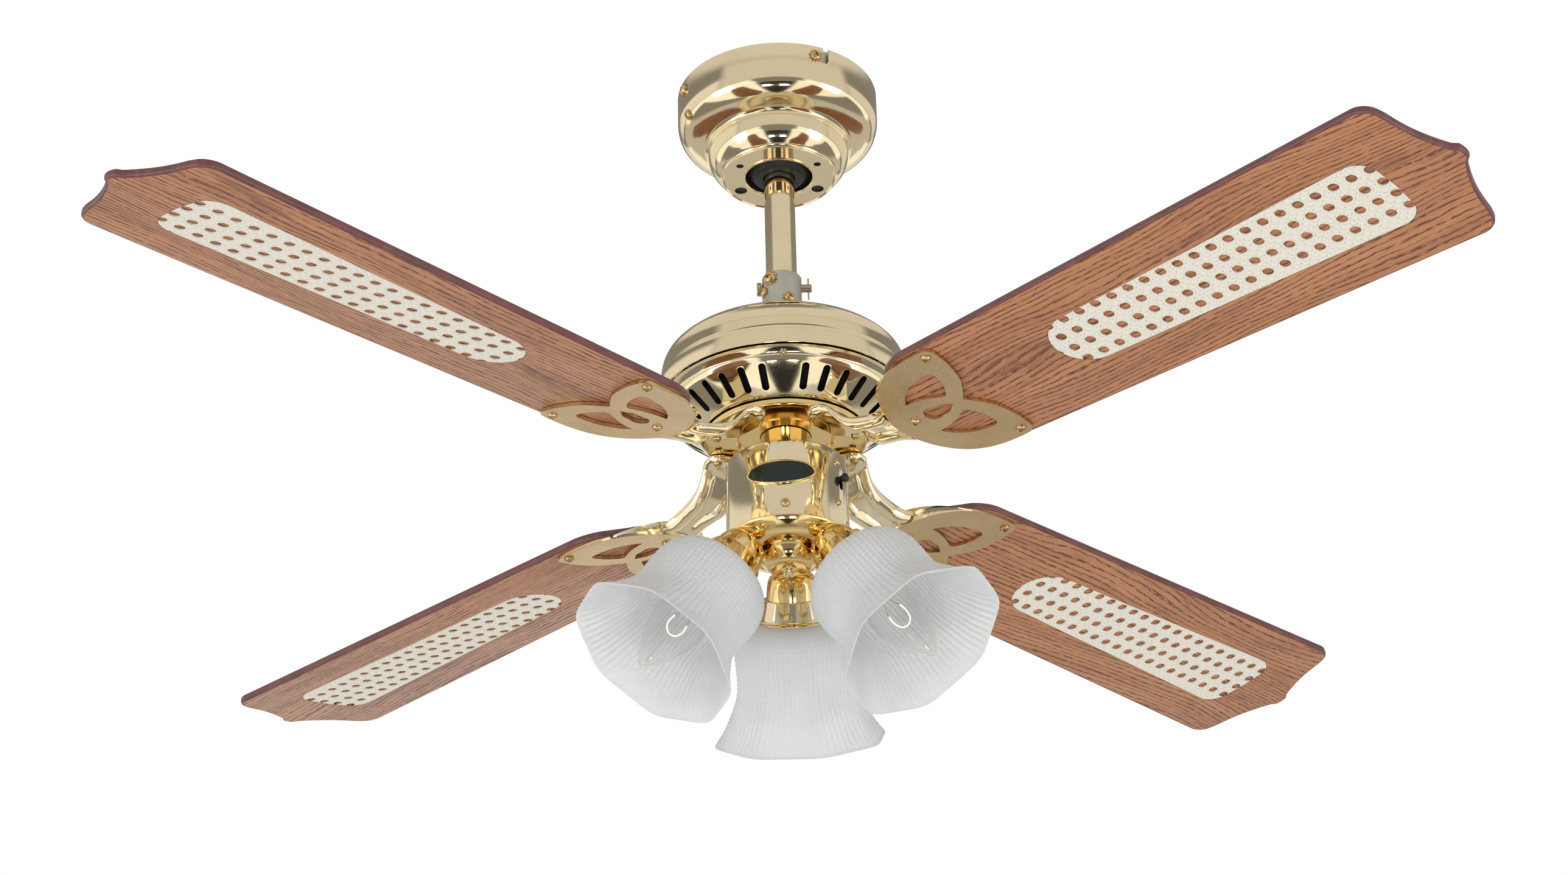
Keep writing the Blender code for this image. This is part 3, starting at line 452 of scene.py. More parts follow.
def lathe(profile, steps=96, sharp=38):
    """A surface of revolution about Z. A profile with both ends on the axis is open, any other is a ring."""
    verts, rings = [], []
    for r, z in profile:
        ring = [(0.0, 0.0)] if r < 1e-7 else circle(r, steps)
        rings.append(range(len(verts), len(verts) + len(ring)))
        verts += [(x, y, z) for x, y in ring]
    pairs = list(zip(rings, rings[1:]))
    if len(rings[0]) > 1:
        pairs.append((rings[-1], rings[0]))
    faces = []
    for first, second in pairs:
        for k in range(steps):
            j = (k + 1) % steps
            corners = [ring[i % len(ring)] for ring, i in ((first, k), (first, j), (second, j), (second, k))]
            face = [v for i, v in enumerate(corners) if v != corners[i - 1]]
            if len(face) >= 3:
                faces.append(face)
    return closed_mesh(verts, faces, sharp)


def skin(rings, sharp=38, closed=False):
    """A skin through rings of equal length, closed by a face at each end, or round on itself."""
    count = len(rings[0])
    verts = [tuple(p) for ring in rings for p in ring]
    faces = []
    for i in range(len(rings) if closed else len(rings) - 1):
        first, second = i * count, (i + 1) % len(rings) * count
        for k in range(count):
            j = (k + 1) % count
            faces.append((first + k, first + j, second + j, second + k))
    if not closed:
        faces.append(tuple(reversed(range(count))))
        faces.append(tuple(range((len(rings) - 1) * count, len(rings) * count)))
    return closed_mesh(verts, faces, sharp)


def tube(points, radius, sides=10):
    """A round wire along a line of points."""
    rings, side = [], None
    for i, point in enumerate(points):
        along = direction(points, i)
        side = side or along.orthogonal().normalized()
        side = (side - along * side.dot(along)).normalized()
        up = along.cross(side)
        rings.append([Vector(point) + side * x + up * y for x, y in circle(radius, sides)])
    return skin(rings)


def prism(outline, low, high, place=None):
    """A straight-sided solid with a flat outline in XY."""
    mesh = skin([[(x, y, z) for x, y in outline] for z in (low, high)])
    if place is not None:
        mesh.transform(place)
    return mesh


def bore(radius, reach, place, sides=24):
    """A round cutter along a place's local Z, as long as the reach each way."""
    return prism(circle(radius, sides), -reach, reach, place)


def merged(meshes):
    """Several meshes as one."""
    work = bmesh.new()
    for mesh in meshes:
        work.from_mesh(mesh)
    result = bpy.data.meshes.new("merged")
    work.to_mesh(result)
    work.free()
    return result


def difference(mesh, cutters, sharp=38):
    """The mesh with cutter meshes taken out of it."""
    objects = []
    for part in (mesh, *cutters):
        objects.append(bpy.data.objects.new("work", part))
        bpy.context.scene.collection.objects.link(objects[-1])
    for tool in objects[1:]:
        boolean = objects[0].modifiers.new("cut", "BOOLEAN")
        boolean.operation = "DIFFERENCE"
        boolean.solver = "EXACT"
        boolean.object = tool
    bpy.context.view_layer.update()
    evaluated = objects[0].evaluated_get(bpy.context.evaluated_depsgraph_get())
    result = bpy.data.meshes.new_from_object(evaluated)
    for obj in objects:
        bpy.data.objects.remove(obj)
    return shaded(result, sharp)


def piece(name, mesh, body, material, place=None, replaces=(), slot=None):
    """A piece of the object that rides on a body. Its mesh holds its place, as the CAD nodes' meshes do."""
    if place is not None:
        mesh = mesh.copy()
        mesh.transform(place)
    mesh.name = name
    obj = bpy.data.objects.new(name, mesh)
    bpy.context.scene.collection.objects.link(obj)
    if not mesh.materials:
        mesh.materials.append(material)
    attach(obj, body)
    if replaces:
        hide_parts(*replaces)
    slot or SLOTS[material]


# ---- Screws ----
def pan_head():
    """A round head of unit radius with a cross recess, seated on z = 0."""
    angles = [math.radians(a) for a in range(15, 91, 15)]
    dome = [(0, 0.66), *[(math.sin(a), 0.10 + 0.56 * math.cos(a)) for a in angles]]
    arm = rectangle(-0.52, -0.11, 0.52, 0.11)
    rings = []
    for z, scale in ((0.20, 0.45), (0.8, 1.25)):
        rings.append([(x * scale, y * (0.7 + 0.3 * scale), z) for x, y in arm])
    arms = [skin(rings), skin(rings)]
    arms[1].transform(spin(90))
    return difference(lathe([*dome, (1.0, 0.0), (0, 0.0)], 28), arms, 30)


def star_washer():
    """A toothed lock washer for a screw of unit radius."""
    teeth, thick = 10, 0.14
    outer = []
    for k in range(teeth):
        for share, reach in ((0.0, 1.10), (0.30, 1.10), (0.5, 1.30), (0.80, 1.30)):
            outer.append(polar(reach, 2 * math.pi * (k + share) / teeth))
    inner = circle(0.8, len(outer))
    levels = ((inner, 0.0), (outer, 0.0), (outer, thick), (inner, thick))
    return skin([[(x, y, z) for x, y in line] for line, z in levels], 30, closed=True)


HEAD, WASHER = pan_head(), star_washer()


def screw(name, place, radius, body, washer=False, replaces=(), slot=None):
    """A screw head on a surface. Its place has local +Z pointing out of that surface."""
    size = Matrix.Scale(radius, 4)
    lift = 0.00006
    if washer:
        piece(name + "_washer", WASHER, body, SCREW_BRASS, place @ shift(0, 0, lift) @ size, slot=slot)
        lift += 0.12 * radius
    piece(name, HEAD, body, SCREW_BRASS, place @ shift(0, 0, lift) @ size, replaces, slot)


# ---- Ceiling mount ----
def canopy_cutters():
    """The disc's four holes, the bayonet slot with its keyway, and the four screw holes."""
    wall_r = CANOPY_R - 0.0003
    cutters = []
    for angle, radius in ((-149.5, 0.0025), (-30.5, 0.0025), (150, 0.0042), (30, 0.0042)):
        cutters.append(bore(radius, 0.003, spin(angle) @ shift(0.0303, 0, -0.064), 32))
    seat = radial(KEYHOLE_ANGLE, wall_r, CANOPY_SCREW_Z)
    slot = [(-0.0042, -0.0052), (0.0042, -0.0052), (0.0042, 0.0012), (0.0015, 0.0028), (-0.0042, 0.0028)]
    for outline in (slot, rectangle(-0.0100, -0.0012, 0.001, 0.0028)):
        cutters.append(prism(outline, -0.006, 0.006, seat))
    for _, angle in CANOPY_SCREWS:
        cutters.append(bore(0.0022, 0.006, radial(angle, wall_r, CANOPY_SCREW_Z), 20))
    return cutters


def build_canopy():
    outer = route(
        [(0.0681, -0.0005), (0.0683, -0.0012)],
        [(0.0683, -0.0205)],
        [(0.0680, -0.0245), (0.0667, -0.0290), (0.0642, -0.0326), (0.0602, -0.0357), (0.0545, -0.0382),
         (0.0502, -0.0396)],
        [(0.0486, -0.0409), (0.0479, -0.0428)],
        [(0.0479, -0.0462), (0.0472, -0.0505), (0.0456, -0.0548), (0.0428, -0.0588), (0.0396, -0.0617)],
        [(0.0386, -0.0624), (0.0380, -0.0637)],
        [(0.0375, -0.0640), (0.0240, -0.0640), (0.0234, -0.0638)],
        samples=5,
    )
    cup = difference(lathe(walled(outer), 160), canopy_cutters())
    piece("canopy_cup", cup, MOUNT, POLISHED, replaces=["canopy"])
    # A black ring just inside the disc, behind its four holes: painted shade, so that the holes look dark.
    painted_shade_ring = eased(rectangle(0.0250, -0.0626, 0.0368, -0.0618), 0.0002)
    piece("canopy_painted_shade_ring", lathe(painted_shade_ring, 64), MOUNT, BLACK)
    for name, angle in CANOPY_SCREWS:
        place = radial(angle, CANOPY_R, CANOPY_SCREW_Z, 20)
        screw(f"canopy_head_{name}", place, 0.0037, MOUNT, True, [f"canopy_screw_{name}"])
    # A grub screw with a washer on the canopy's first curve.
    screw("canopy_lower_screw", radial(-155, 0.0662, -0.0297) @ spin(28, "Y"), 0.0031, MOUNT, True)


def build_seat():
    low, high = -0.0577, -0.0470
    steps = [low + (high - low) * i / 10 for i in range(11)]
    inside = [(math.sqrt(SEAT_R**2 - (z - BALL_CENTRE.z) ** 2), z) for z in steps]
    ring = eased([(0.0295, high), (0.0295, low), *inside], 0.0006)
    piece("ball_seat_ring", lathe(ring, 64), MOUNT, BLACK, replaces=["ball_seat"])


# ---- Ball, rod and coupling ----
def hanger_bore():
    return bore(HANGER_HOLE_R, 0.04, Matrix.Translation(BALL_CENTRE) @ spin(90, "X"))


def coupling_bore():
    return bore(COUPLING_HOLE_R, 0.03, shift(0, 0, COUPLING_Z) @ spin(90, "Y"))


def build_ball():
    outside = [(x, BALL_CENTRE.z + z) for x, z in arc((0, 0), BALL_R, 24, -52, 20)]
    profile = [(0.0107, outside[0][1]), *outside, (0.0107, outside[-1][1])]
    keyway = rectangle(-0.0015, -0.010, 0.0015, 0.010)  # it keys the ball to its seat
    keyway = prism(keyway, -0.004, 0.004, shift(0.0175, -0.0155, -0.0615) @ spin(-42))
    ball = difference(lathe(eased(profile, 0.0008), 80), [keyway, hanger_bore()])
    piece("hanger_ball_turned", ball, HANGING, BLACK, replaces=["hanger_ball"])


def build_rod():
    top, foot, outer_r, inner_r, rings = -0.0345, -0.170, 0.0103, 0.0088, 12
    corners = eased([(outer_r, top), (outer_r, foot), (inner_r, foot), (inner_r, top)], 0.0003)
    profile = []
    for (r0, z0), (_, z1) in zip(corners, corners[1:] + corners[:1]):
        profile.append((r0, z0))
        if abs(z1 - z0) > 0.02:  # rings along the tube keep its shading smooth round the holes
            profile += [(r0, z0 + (z1 - z0) * k / rings) for k in range(1, rings)]
    rod = difference(lathe(profile, 72), [hanger_bore(), coupling_bore()])
    piece("downrod_tube", rod, HANGING, POLISHED, replaces=["downrod"])


def build_collar():
    profile = route(
        [(0.0108, -0.1450), (0.0128, -0.1450)],
        [(0.0132, -0.1454)],
        [(0.0132, -0.1830)],
        [(0.0140, -0.1852), (0.0175, -0.1868), (0.0240, -0.1872)],
        [(0.0240, -0.1885)],
        [(0.0083, -0.1885)],
        [(0.0083, -0.1740)],
        [(0.0106, -0.1720)],
    )
    cutters = [coupling_bore()]
    for _, angle, height, _, _ in SET_SCREWS:
        cutters.append(bore(0.0021, 0.004, radial(angle, COLLAR_R, height), 20))
    sleeve = difference(lathe(profile, 80), cutters)
    piece("coupling_sleeve", sleeve, HANGING, ZINC, replaces=["coupling_collar"])


def build_coupling_pin():
    """The headed pin through the collar and the rod, and the hairpin clip through its far end."""
    half = 0.0135
    end, clip_x = half + 0.0065, half + 0.0042
    stem = [(0, end), (0.0022, end), (0.00275, end - 0.0006), (0.00275, -half)]
    head = [(0.0042, 0.0), (0.0046, 0.0006), (0.0046, 0.0026), (0.0040, 0.0032), (0, 0.0032)]
    pin = lathe([*stem, *[(r, -half - depth) for r, depth in head]], 40)
    pin.transform(shift(0, 0, COUPLING_Z) @ spin(90, "Y"))
    pin = difference(pin, [bore(0.0008, 0.006, shift(clip_x, 0, COUPLING_Z), 12)])
    piece("coupling_pin_turned", pin, HANGING, PIN_STEEL, replaces=["coupling_pin"])
    wire = [(0, -0.0078), (0, 0.0060), (0.0006, 0.0076), (0.0022, 0.0086), (0.0042, 0.0078),
            (0.0046, 0.0062), (0.0036, 0.0045), (0.0029, 0.0030), (0.0034, 0.0014), (0.0036, 0),
            (0.0034, -0.0014), (0.0024, -0.0034), (0.0022, -0.0050), (0.0030, -0.0070)]
    clip = tube(spline([(clip_x, y, COUPLING_Z + z) for y, z in wire]), 0.00055, 8)
    piece("hairpin_clip", clip, HANGING, PIN_STEEL, replaces=["pin_clip"])


def build_collar_screws():
    for name, angle, height, turn, radius in SET_SCREWS:
        place = radial(angle, COLLAR_R, height, turn)
        screw(f"collar_screw_{name}", place, radius, HANGING, True, [f"set_screw_{name}"])
    screw("collar_screw_side", radial(-152, COLLAR_R, -0.1585, 60), 0.0030, HANGING, True)


# ---- Motor housing ----
def build_motor_housing():
    outer = route(
        [(0.0090, -0.1890), (0.0300, -0.1899), (0.0480, -0.1932), (0.0600, -0.1977), (0.0640, -0.1998)],
        [(0.0652, -0.2006), (0.0665, -0.2010)],
        [(0.0730, -0.2052), (0.0776, -0.2098), (0.0797, -0.2140)],
        [(0.0807, -0.2190), (0.0811, -0.2262)],
        [(0.0816, -0.2272), (0.0824, -0.2280)],
        [(0.0828, -0.2310), (0.0828, -0.2370), (0.0824, -0.2405)],
        samples=5,
    )
    piece("motor_housing", lathe(walled(outer), 192), HANGING, POLISHED, replaces=["motor_cover"])


def build_vent_ring():
    """The slotted ring under the motor. Every eighth slot is left out."""
    ring = route(
        [(0.0808, -0.2412), (0.0790, -0.2420), (0.0776, -0.2432)],
        [(0.0762, -0.2448), (0.0756, -0.2468), (0.0742, -0.2496)],
        [(0.0580, -0.2624)],
        [(0.0562, -0.2636), (0.0540, -0.2645)],
        samples=5,
    )
    places, inner, outer = 32, Vector((0.0606, 0, -0.26035)), Vector((0.0716, 0, -0.25165))
    reach = outer - inner
    lean = Matrix.Rotation(-math.atan2(reach.z, reach.x), 4, "Y")
    outline = long_hole(reach.length / 2, 0.0024)
    slots = []
    for index in range(places):
        if index % 8:
            turn = spin(360 * index / places)
            slots.append(prism(outline, -0.004, 0.004, turn @ Matrix.Translation((inner + outer) / 2) @ lean))
    vent = difference(lathe(walled(ring), 192), [merged(slots)])
    piece("vented_ring", vent, HANGING, POLISHED, replaces=["vent_ring"])
    screw("housing_screw", radial(-90, 0.0765, -0.2450) @ spin(40, "Y"), 0.0024, HANGING)


def build_rotor_flange():
    flange = route(
        [(0.0168, -0.2652), (0.0290, -0.2652)],
        [(0.0300, -0.2656), (0.0310, -0.2680), (0.0322, -0.2692)],
        [(0.0515, -0.2693)],
        [(0.0526, -0.2690), (0.0530, -0.2680)],
        [(0.0530, -0.2655)],
    )
    flange += [(0.0505, -0.2651), (0.0168, -0.26505)]
    piece("rotor_flange_dished", lathe(flange, 128), ROTOR, BRASS_PAINTED_AMBER, replaces=["rotor_flange"])


# ---- Blades ----
def board_map(mesh):
    """Keeps each point's place on the blade as a flat map, in metres, for the grain and the weave."""
    layer = mesh.uv_layers.new(name="board")
    for loop in mesh.loops:
        layer.data[loop.index].uv = mesh.vertices[loop.vertex_index].co.xy


def blade_frame(index, share=1.0):
    """A blade's own frame, with a share of its pitch."""
    return shift(0, 0, BLADE_PLANE_Z) @ spin(BLADE_ANGLES[index]) @ spin(BLADE_PITCH * share, "X")


def blade_outline():
    root = arc((0.1402, 0.0), 0.0400, 180, 126, 12)
    shoulder = arc((0.1520, 0.0162), 0.0370, 128, 95, 8)
    corner = arc((0.4935, 0.0505), 0.0128, 96, 15, 12)
    ogee = []
    for k in range(1, 13):  # each half of the tip is a little hollow, up to the rounded point in the middle
        t = k / 14
        ogee.append((0.5066 + 0.0182 * t - 0.0033 * math.sin(math.pi * t), 0.0530 * (1 - t)))
    return mirrored([*root, *shoulder, *corner, *ogee, (0.5239, 0.0050), (0.5246, 0.0024), (0.5248, 0.0)])


def inlay_outline(inset=0.0):
    inner = arc((0.253, 0), 0.023 - inset, 180, 95, 14)
    outer = arc((INLAY_END_R - 0.0155, 0.0155), 0.0145 - inset, 92, 8, 12)
    return mirrored([*inner, *outer, (INLAY_END_R - inset, 0.0)])


def ring_of(work, outline, z):
    return [work.verts.new((x, y, z)) for x, y in outline]


def bridge(work, first, second):
    """The faces between two closed rings of vertices."""
    corners = zip(first, first[1:] + first[:1], second[1:] + second[:1], second)
    return [work.faces.new(four) for four in corners]


def flat_faces(work, *loops):
    """Triangles that fill a flat face inside the first ring of vertices and round the others."""
    every = [v for loop in loops for v in loop]
    for triangle in tessellate_polygon([[v.co for v in loop] for loop in loops]):
        corners = [every[i] for i in triangle]
        if len(set(corners)) == 3 and not work.faces.get(corners):
            work.faces.new(corners)


def blade_mesh():
    """The board: rounded edges, a flat top, and the inlay's shallow recess in its underside."""
    outline, ease, steps = blade_outline(), 0.0016, 4
    angles = [math.pi / 2 * k / steps for k in range(steps + 1)]
    lower = [(BLADE_LOW + ease * (1 - math.cos(a)), ease * (1 - math.sin(a))) for a in angles]
    upper = [(BLADE_HIGH + BLADE_LOW - z, inset) for z, inset in reversed(lower)]
    work = bmesh.new()
    rings = [ring_of(work, offset(outline, inset, closed=True), z) for z, inset in lower + upper]
    for first, second in zip(rings, rings[1:]):
        for face in bridge(work, first, second):
            face.material_index = 1
    recess, sunk = [ring_of(work, inlay_outline(), z) for z in (BLADE_LOW, BLADE_LOW + INLAY_DEPTH)]
    bridge(work, recess, sunk)
    for loops in ((rings[0], recess), (sunk,), (rings[-1],)):
        flat_faces(work, *loops)
    return mesh_of(work, 50)


def cane_mesh():
    """The cane sheet, pierced by round holes in a square grid that the border cuts across."""
    lean = 0.0005 / 21  # the grid is a touch askew, by this much a column
    holes = []
    for column in range(-1, 22):
        for row in range(-2, 4):
            x, y = 0.2405 + CANE_PITCH * column, -0.0205 + CANE_PITCH * row + lean * column
            if abs(y) <= 0.036:
                holes.append(prism(circle(CANE_HOLE_R, 14, (x, y)), -0.004, 0.001))
    return difference(prism(inlay_outline(0.0003), -0.00195, -0.0011), [merged(holes)], 30)


def plate_outline():
    inner = spline([(0.1000, 0.0), (0.1006, 0.0077), (0.1046, 0.0190), (0.1096, 0.0282), (0.1160, 0.0360),
                    (0.1240, 0.0424), (0.1350, 0.0472), (0.1480, 0.0496), (0.1600, 0.0500)], 4)
    tip = arc((0.1645, 0.0440), 0.0058, 80, -10, 8)
    outer = spline([(0.1703, 0.0400), (0.1700, 0.0330), (0.1664, 0.0180), (0.1610, 0.0090), (0.1535, 0.0)], 4)
    return mirrored([*inner, *tip, *outer[1:]])


def plate_openings():
    """Two leaves and the drop between them."""
    leaf = [(0.1202, 0.0160), (0.1250, 0.0222), (0.1330, 0.0280), (0.1420, 0.0312), (0.1520, 0.0322),
            (0.1560, 0.0295), (0.1550, 0.0200), (0.1510, 0.0120), (0.1466, 0.0082), (0.1400, 0.0112),
            (0.1300, 0.0146)]
    leaf = spline([*leaf, leaf[0]], 4)[:-1]
    drop = mirrored([(0.1222, 0.0), *arc((0.1290, 0.0), 0.0066, 150, 60, 8), (0.1390, 0.0052), (0.1460, 0.0)])
    return [leaf, [(x, -y) for x, y in reversed(leaf)], drop]


def plate_mesh():
    """The leaf plate against the blade's underside. Its lower face has a fine lip along every edge."""
    lip = 0.0004
    work = bmesh.new()
    loops = []
    for outline, side in [(plate_outline(), -lip), *[(opening, lip) for opening in plate_openings()]]:
        rings = [ring_of(work, offset(outline, side, closed=True), PLATE_LOW)]
        rings += [ring_of(work, outline, z) for z in (PLATE_LOW + lip, PLATE_HIGH)]
        for first, second in zip(rings, rings[1:]):
            bridge(work, first, second)
        loops.append(rings)
    for level in (0, -1):
        flat_faces(work, *[rings[level] for rings in loops])
    return mesh_of(work, 40)


ARM_TOP = ARM_PAD_Z - BLADE_PLANE_Z
ARM_LINE = [  # (radius, top, half-width, thickness at the rails, depth of the trough between them)
    (0.0355, ARM_TOP, 0.0150, 0.0048, 0.0000),
    (0.0400, ARM_TOP, 0.0215, 0.0048, 0.0000),
    (0.0450, ARM_TOP, 0.0240, 0.0048, 0.0000),
    (0.0510, ARM_TOP, 0.0232, 0.0050, 0.0004),
    (0.0555, 0.0238, 0.0205, 0.0058, 0.0018),
    (0.0600, 0.0185, 0.0182, 0.0066, 0.0032),
    (0.0650, 0.0132, 0.0168, 0.0070, 0.0040),
    (0.0720, 0.0092, 0.0158, 0.0074, 0.0042),
    (0.0800, 0.0070, 0.0148, 0.0075, 0.0040),
    (0.0880, 0.0052, 0.0142, 0.0074, 0.0034),
    (0.0950, 0.0030, 0.0150, 0.0068, 0.0024),
    (0.1000, 0.0012, 0.0175, 0.0055, 0.0012),
]
PITCH_START_R, PITCH_END_R = 0.0510, 0.0880  # between them the arm takes up the blade's pitch


def arm_section(top, half, thick, trough):
    """The arm's outline across: two round rails with a trough between them below, and an eased flat top."""
    rail, ease, steps = min(0.36 * half, 0.0052), 0.0006, 24
    under = []
    for k in range(steps + 1):
        y = -half + 2 * half * k / steps
        off = (abs(y) - (half - rail)) / rail
        lobe = math.sqrt(max(1 - off * off, 0.0))
        shallow = 0.35 * thick if off > 0 else thick - trough
        under.append((y, top - shallow - (thick - shallow) * lobe))
    corner = [(half, top - 0.0004), (half - ease, top)]
    return [*under, *corner, (0.0, top - 0.3 * trough), *[(-y, z) for y, z in reversed(corner)]]


def arm_mesh(index):
    """The cast arm: a screwed pad under the rotor, then two rounded rails with a trough between them."""
    rings = []
    for radius, *section in spline(ARM_LINE, 5):
        share = min(max((radius - PITCH_START_R) / (PITCH_END_R - PITCH_START_R), 0.0), 1.0)
        place = blade_frame(index, share)
        rings.append([place @ Vector((radius, y, z)) for y, z in arm_section(*section)])
    return skin(rings, 50)


def plate_wall_mesh():
    """The flared wall that rises from the plate's inner edge towards the arm."""
    thick, profile = 0.0012, ((0.0, 0.0), (0.35, 0.18), (0.7, 0.5), (1.0, 1.0))
    edge = sorted([(x, y) for x, y in plate_outline() if x < 0.1300], key=lambda p: p[1])
    rings = []
    for i, (x, y) in enumerate(edge):
        along = direction(edge, i)
        out = Vector((-along.y, along.x))
        share = max(0.0, 1 - (abs(y) / 0.0445) ** 2)
        tall, flare = 0.0012 + 0.0078 * share, 0.0006 + 0.0036 * share
        front = [(flare * wide, PLATE_LOW + tall * t) for t, wide in profile]
        back = [(reach - thick, z + 0.0003) for reach, z in reversed(front)]
        rings.append([(x + out.x * reach, y + out.y * reach, z) for reach, z in front + back])
    return skin(rings, 40)


def build_blade_screws(index, place):
    """Three screws through the plate into the blade, and two through the arm's pad into the rotor."""
    seats = [place @ shift(x, y, PLATE_LOW) for x, y in ((0.1630, 0.0440), (0.1630, -0.0440), (0.1140, 0.0))]
    for spot, seat in enumerate(seats):
        screw(f"plate_screw_{index + 1}_{spot + 1}", seat @ spin(180, "X"), 0.0034, ROTOR, slot="satin_brass")
    for spot, side in enumerate((-24, 24)):
        seat = spin(BLADE_ANGLES[index] + side) @ shift(0.0478, 0, ARM_PAD_Z - 0.0049)
        screw(f"pad_screw_{index + 1}_{spot + 1}", seat @ spin(180, "X"), 0.0028, ROTOR, slot="satin_brass")


def build_blades():
    board, sheet, plate, wall = blade_mesh(), cane_mesh(), plate_mesh(), plate_wall_mesh()
    board_map(board)
    board_map(sheet)
    for i in range(4):
        number, place = i + 1, blade_frame(i)
        blade = board.copy()
        for material in (OAK[i], EDGE):
            blade.materials.append(material)
        piece(f"blade_board_{number}", blade, ROTOR, OAK[i], place, [f"blade_{number}"])
        piece(f"cane_sheet_{number}", sheet, ROTOR, CANE, place, [f"cane_inlay_{number}"])
        piece(f"leaf_plate_{number}", plate, ROTOR, SATIN, place, [f"blade_arm_{number}"])
        piece(f"cast_arm_{number}", arm_mesh(i), ROTOR, POLISHED, slot="satin_brass")
        piece(f"plate_wall_{number}", wall, ROTOR, POLISHED, place, slot="satin_brass")
        build_blade_screws(i, place)


# ---- Switch housing ----
def build_switch_housing():
    mount = [(0.0165, -0.2655), (0.0165, -0.2862), (0.0290, -0.2862), (0.0290, -0.2885), (0.0380, -0.2885),
             (0.0380, -0.2905), (0.0083, -0.2905), (0.0083, -0.2655)]
    piece("switch_mount_turned", lathe(eased(mount, 0.0005), 96), HANGING, BRASS_PAINTED_AMBER, replaces=["switch_mount"])
    wall = route(
        [(0.0295, -0.2872), (0.0376, -0.2872)],
        [(0.0390, -0.2876), (0.0396, -0.2890)],
        [(0.0396, -0.3403)],
    )
    slot = prism(long_hole(0.0030, 0.0021), -0.004, 0.004, radial(KNOB_ANGLE, CAN_R, -0.3095))
    case = difference(lathe(walled(wall), 160), [slot])
    piece("switch_case", case, HANGING, POLISHED, replaces=["switch_housing"])


def build_case_screws():
    for name, angle, height, turn, radius, washer in (
        ("front", -91.9, CAN_SCREW_Z, 10, 0.0026, True),
        ("side_upper", -35, -0.2960, 30, 0.0023, False),
        ("side_lower", -35, -0.3250, 55, 0.0023, False),
        ("back", 90, CAN_SCREW_Z, 10, 0.0026, True),
    ):
        screw(f"case_screw_{name}", radial(angle, CAN_R, height, turn), radius, HANGING, washer)


def build_knob():
    knob = route(
        [(0, 0.0052), (0.0016, 0.0050), (0.0027, 0.0041), (0.0030, 0.0028), (0.0024, 0.0015),
         (0.0016, 0.0008)],
        [(0.0016, -0.0018)],
        [(0, -0.0018)],
    )
    place = radial(KNOB_ANGLE, CAN_R, -0.3065)
    piece("reverse_knob_turned", lathe(knob, 36), SWITCH, BLACK, place, ["reverse_knob"])


def build_badge():
    """A blank oval plaque, slightly domed, in a raised brass rim. Its ends sit higher than its middle."""
    middle, half_wide, half_tall, height = math.radians(-95.7), 0.0230, 0.0086, -0.3110
    narrow, end_lift, steps = 0.6 * half_tall, 0.0018, 72
    turns = [2 * math.pi * k / steps for k in range(steps)]

    def oval(inset, lift):
        """A ring on the can's wall, inset metres inside the plaque's edge and lift metres off the wall."""
        wide, tall = half_wide - inset, half_tall - inset
        if tall < narrow:  # near the middle the rings shrink evenly
            wide = tall * (half_wide - half_tall + narrow) / narrow
        ring = []
        for turn in turns:
            x, z = wide * math.cos(turn), tall * math.sin(turn)
            rise = end_lift * (x / half_wide) ** 2
            ring.append((*polar(CAN_R + lift, middle + x / CAN_R), height + z + rise))
        return ring

    rim = ((0.0, 0.0001), (0.0, 0.0009), (0.0003, 0.0012), (0.0011, 0.0013), (0.0014, 0.0009),
           (0.0014, 0.0001))
    piece("plaque_rim", skin([oval(*place) for place in rim], 40, closed=True), HANGING, BRASS_PAINTED_AMBER)
    insets = (0.0013, 0.0022, 0.0034, 0.0050, 0.0065, 0.0076, 0.0083)
    back = [oval(inset, 0.0001) for inset in reversed(insets)]
    face = [oval(inset, 0.0007 + 0.02 * inset) for inset in insets]
    piece("plaque_face", skin(back + face, 40), HANGING, ENAMEL, replaces=["badge"])


# ---- Light kit ----
def lamp_frame(index):
    """A lamp's own frame: its origin in the middle of the shade's rim, and +Z back up the shade's axis."""
    tilt = math.radians(LAMP_TILT)
    out, up = Vector((*polar(1.0, math.radians(LAMP_ANGLES[index])), 0)), Vector((0, 0, 1))
    back = math.sin(tilt) * up - math.cos(tilt) * out
    across = up.cross(out)
    axes = Matrix((across.cross(back), across, back)).transposed().to_4x4()
    return Matrix.Translation(out * RIM_CENTRE_R + up * RIM_CENTRE_Z) @ axes


def build_pan_and_hub():
    pan = route(
        [(0.0402, -0.3406), (0.0402, -0.3416)],
        [(0.0396, -0.3428), (0.0380, -0.3448), (0.0345, -0.3472), (0.0300, -0.3485), (0.0240, -0.3490)],
        [(0.0184, -0.3490)],
    )
    piece("light_pan_pressed", lathe(walled(pan, THIN_SHEET), 144), HANGING, BRASS_PAINTED_AMBER, replaces=["light_pan"])
    hub = route(
        [(0, -0.3450), (0.0190, -0.3450)],
        [(0.0190, -0.3484)],
        [(0.0198, -0.3486), (0.0201, -0.3492), (0.0198, -0.3500)],
        [(0.0190, -0.3530), (0.0174, -0.3562), (0.0152, -0.3586), (0.0125, -0.3598), (0.0060, -0.3603)],
        [(0, -0.3603)],
    )
    piece("light_hub_turned", lathe(hub, 128), HANGING, BRASS_PAINTED_AMBER, replaces=["light_hub"])
    finial = route(
        [(0, -0.3590), (0.0046, -0.3590)],
        [(0.0046, -0.3604)],
        [(0.0050, -0.3606), (0.0050, -0.3613), (0.0034, -0.3619), (0.0027, -0.3626), (0.0036, -0.3634),
         (0.0038, -0.3643), (0.0032, -0.3654), (0.0017, -0.3661), (0, -0.3662)],
    )
    piece("finial_turned", lathe(finial, 48), HANGING, POLISHED, replaces=["finial"])


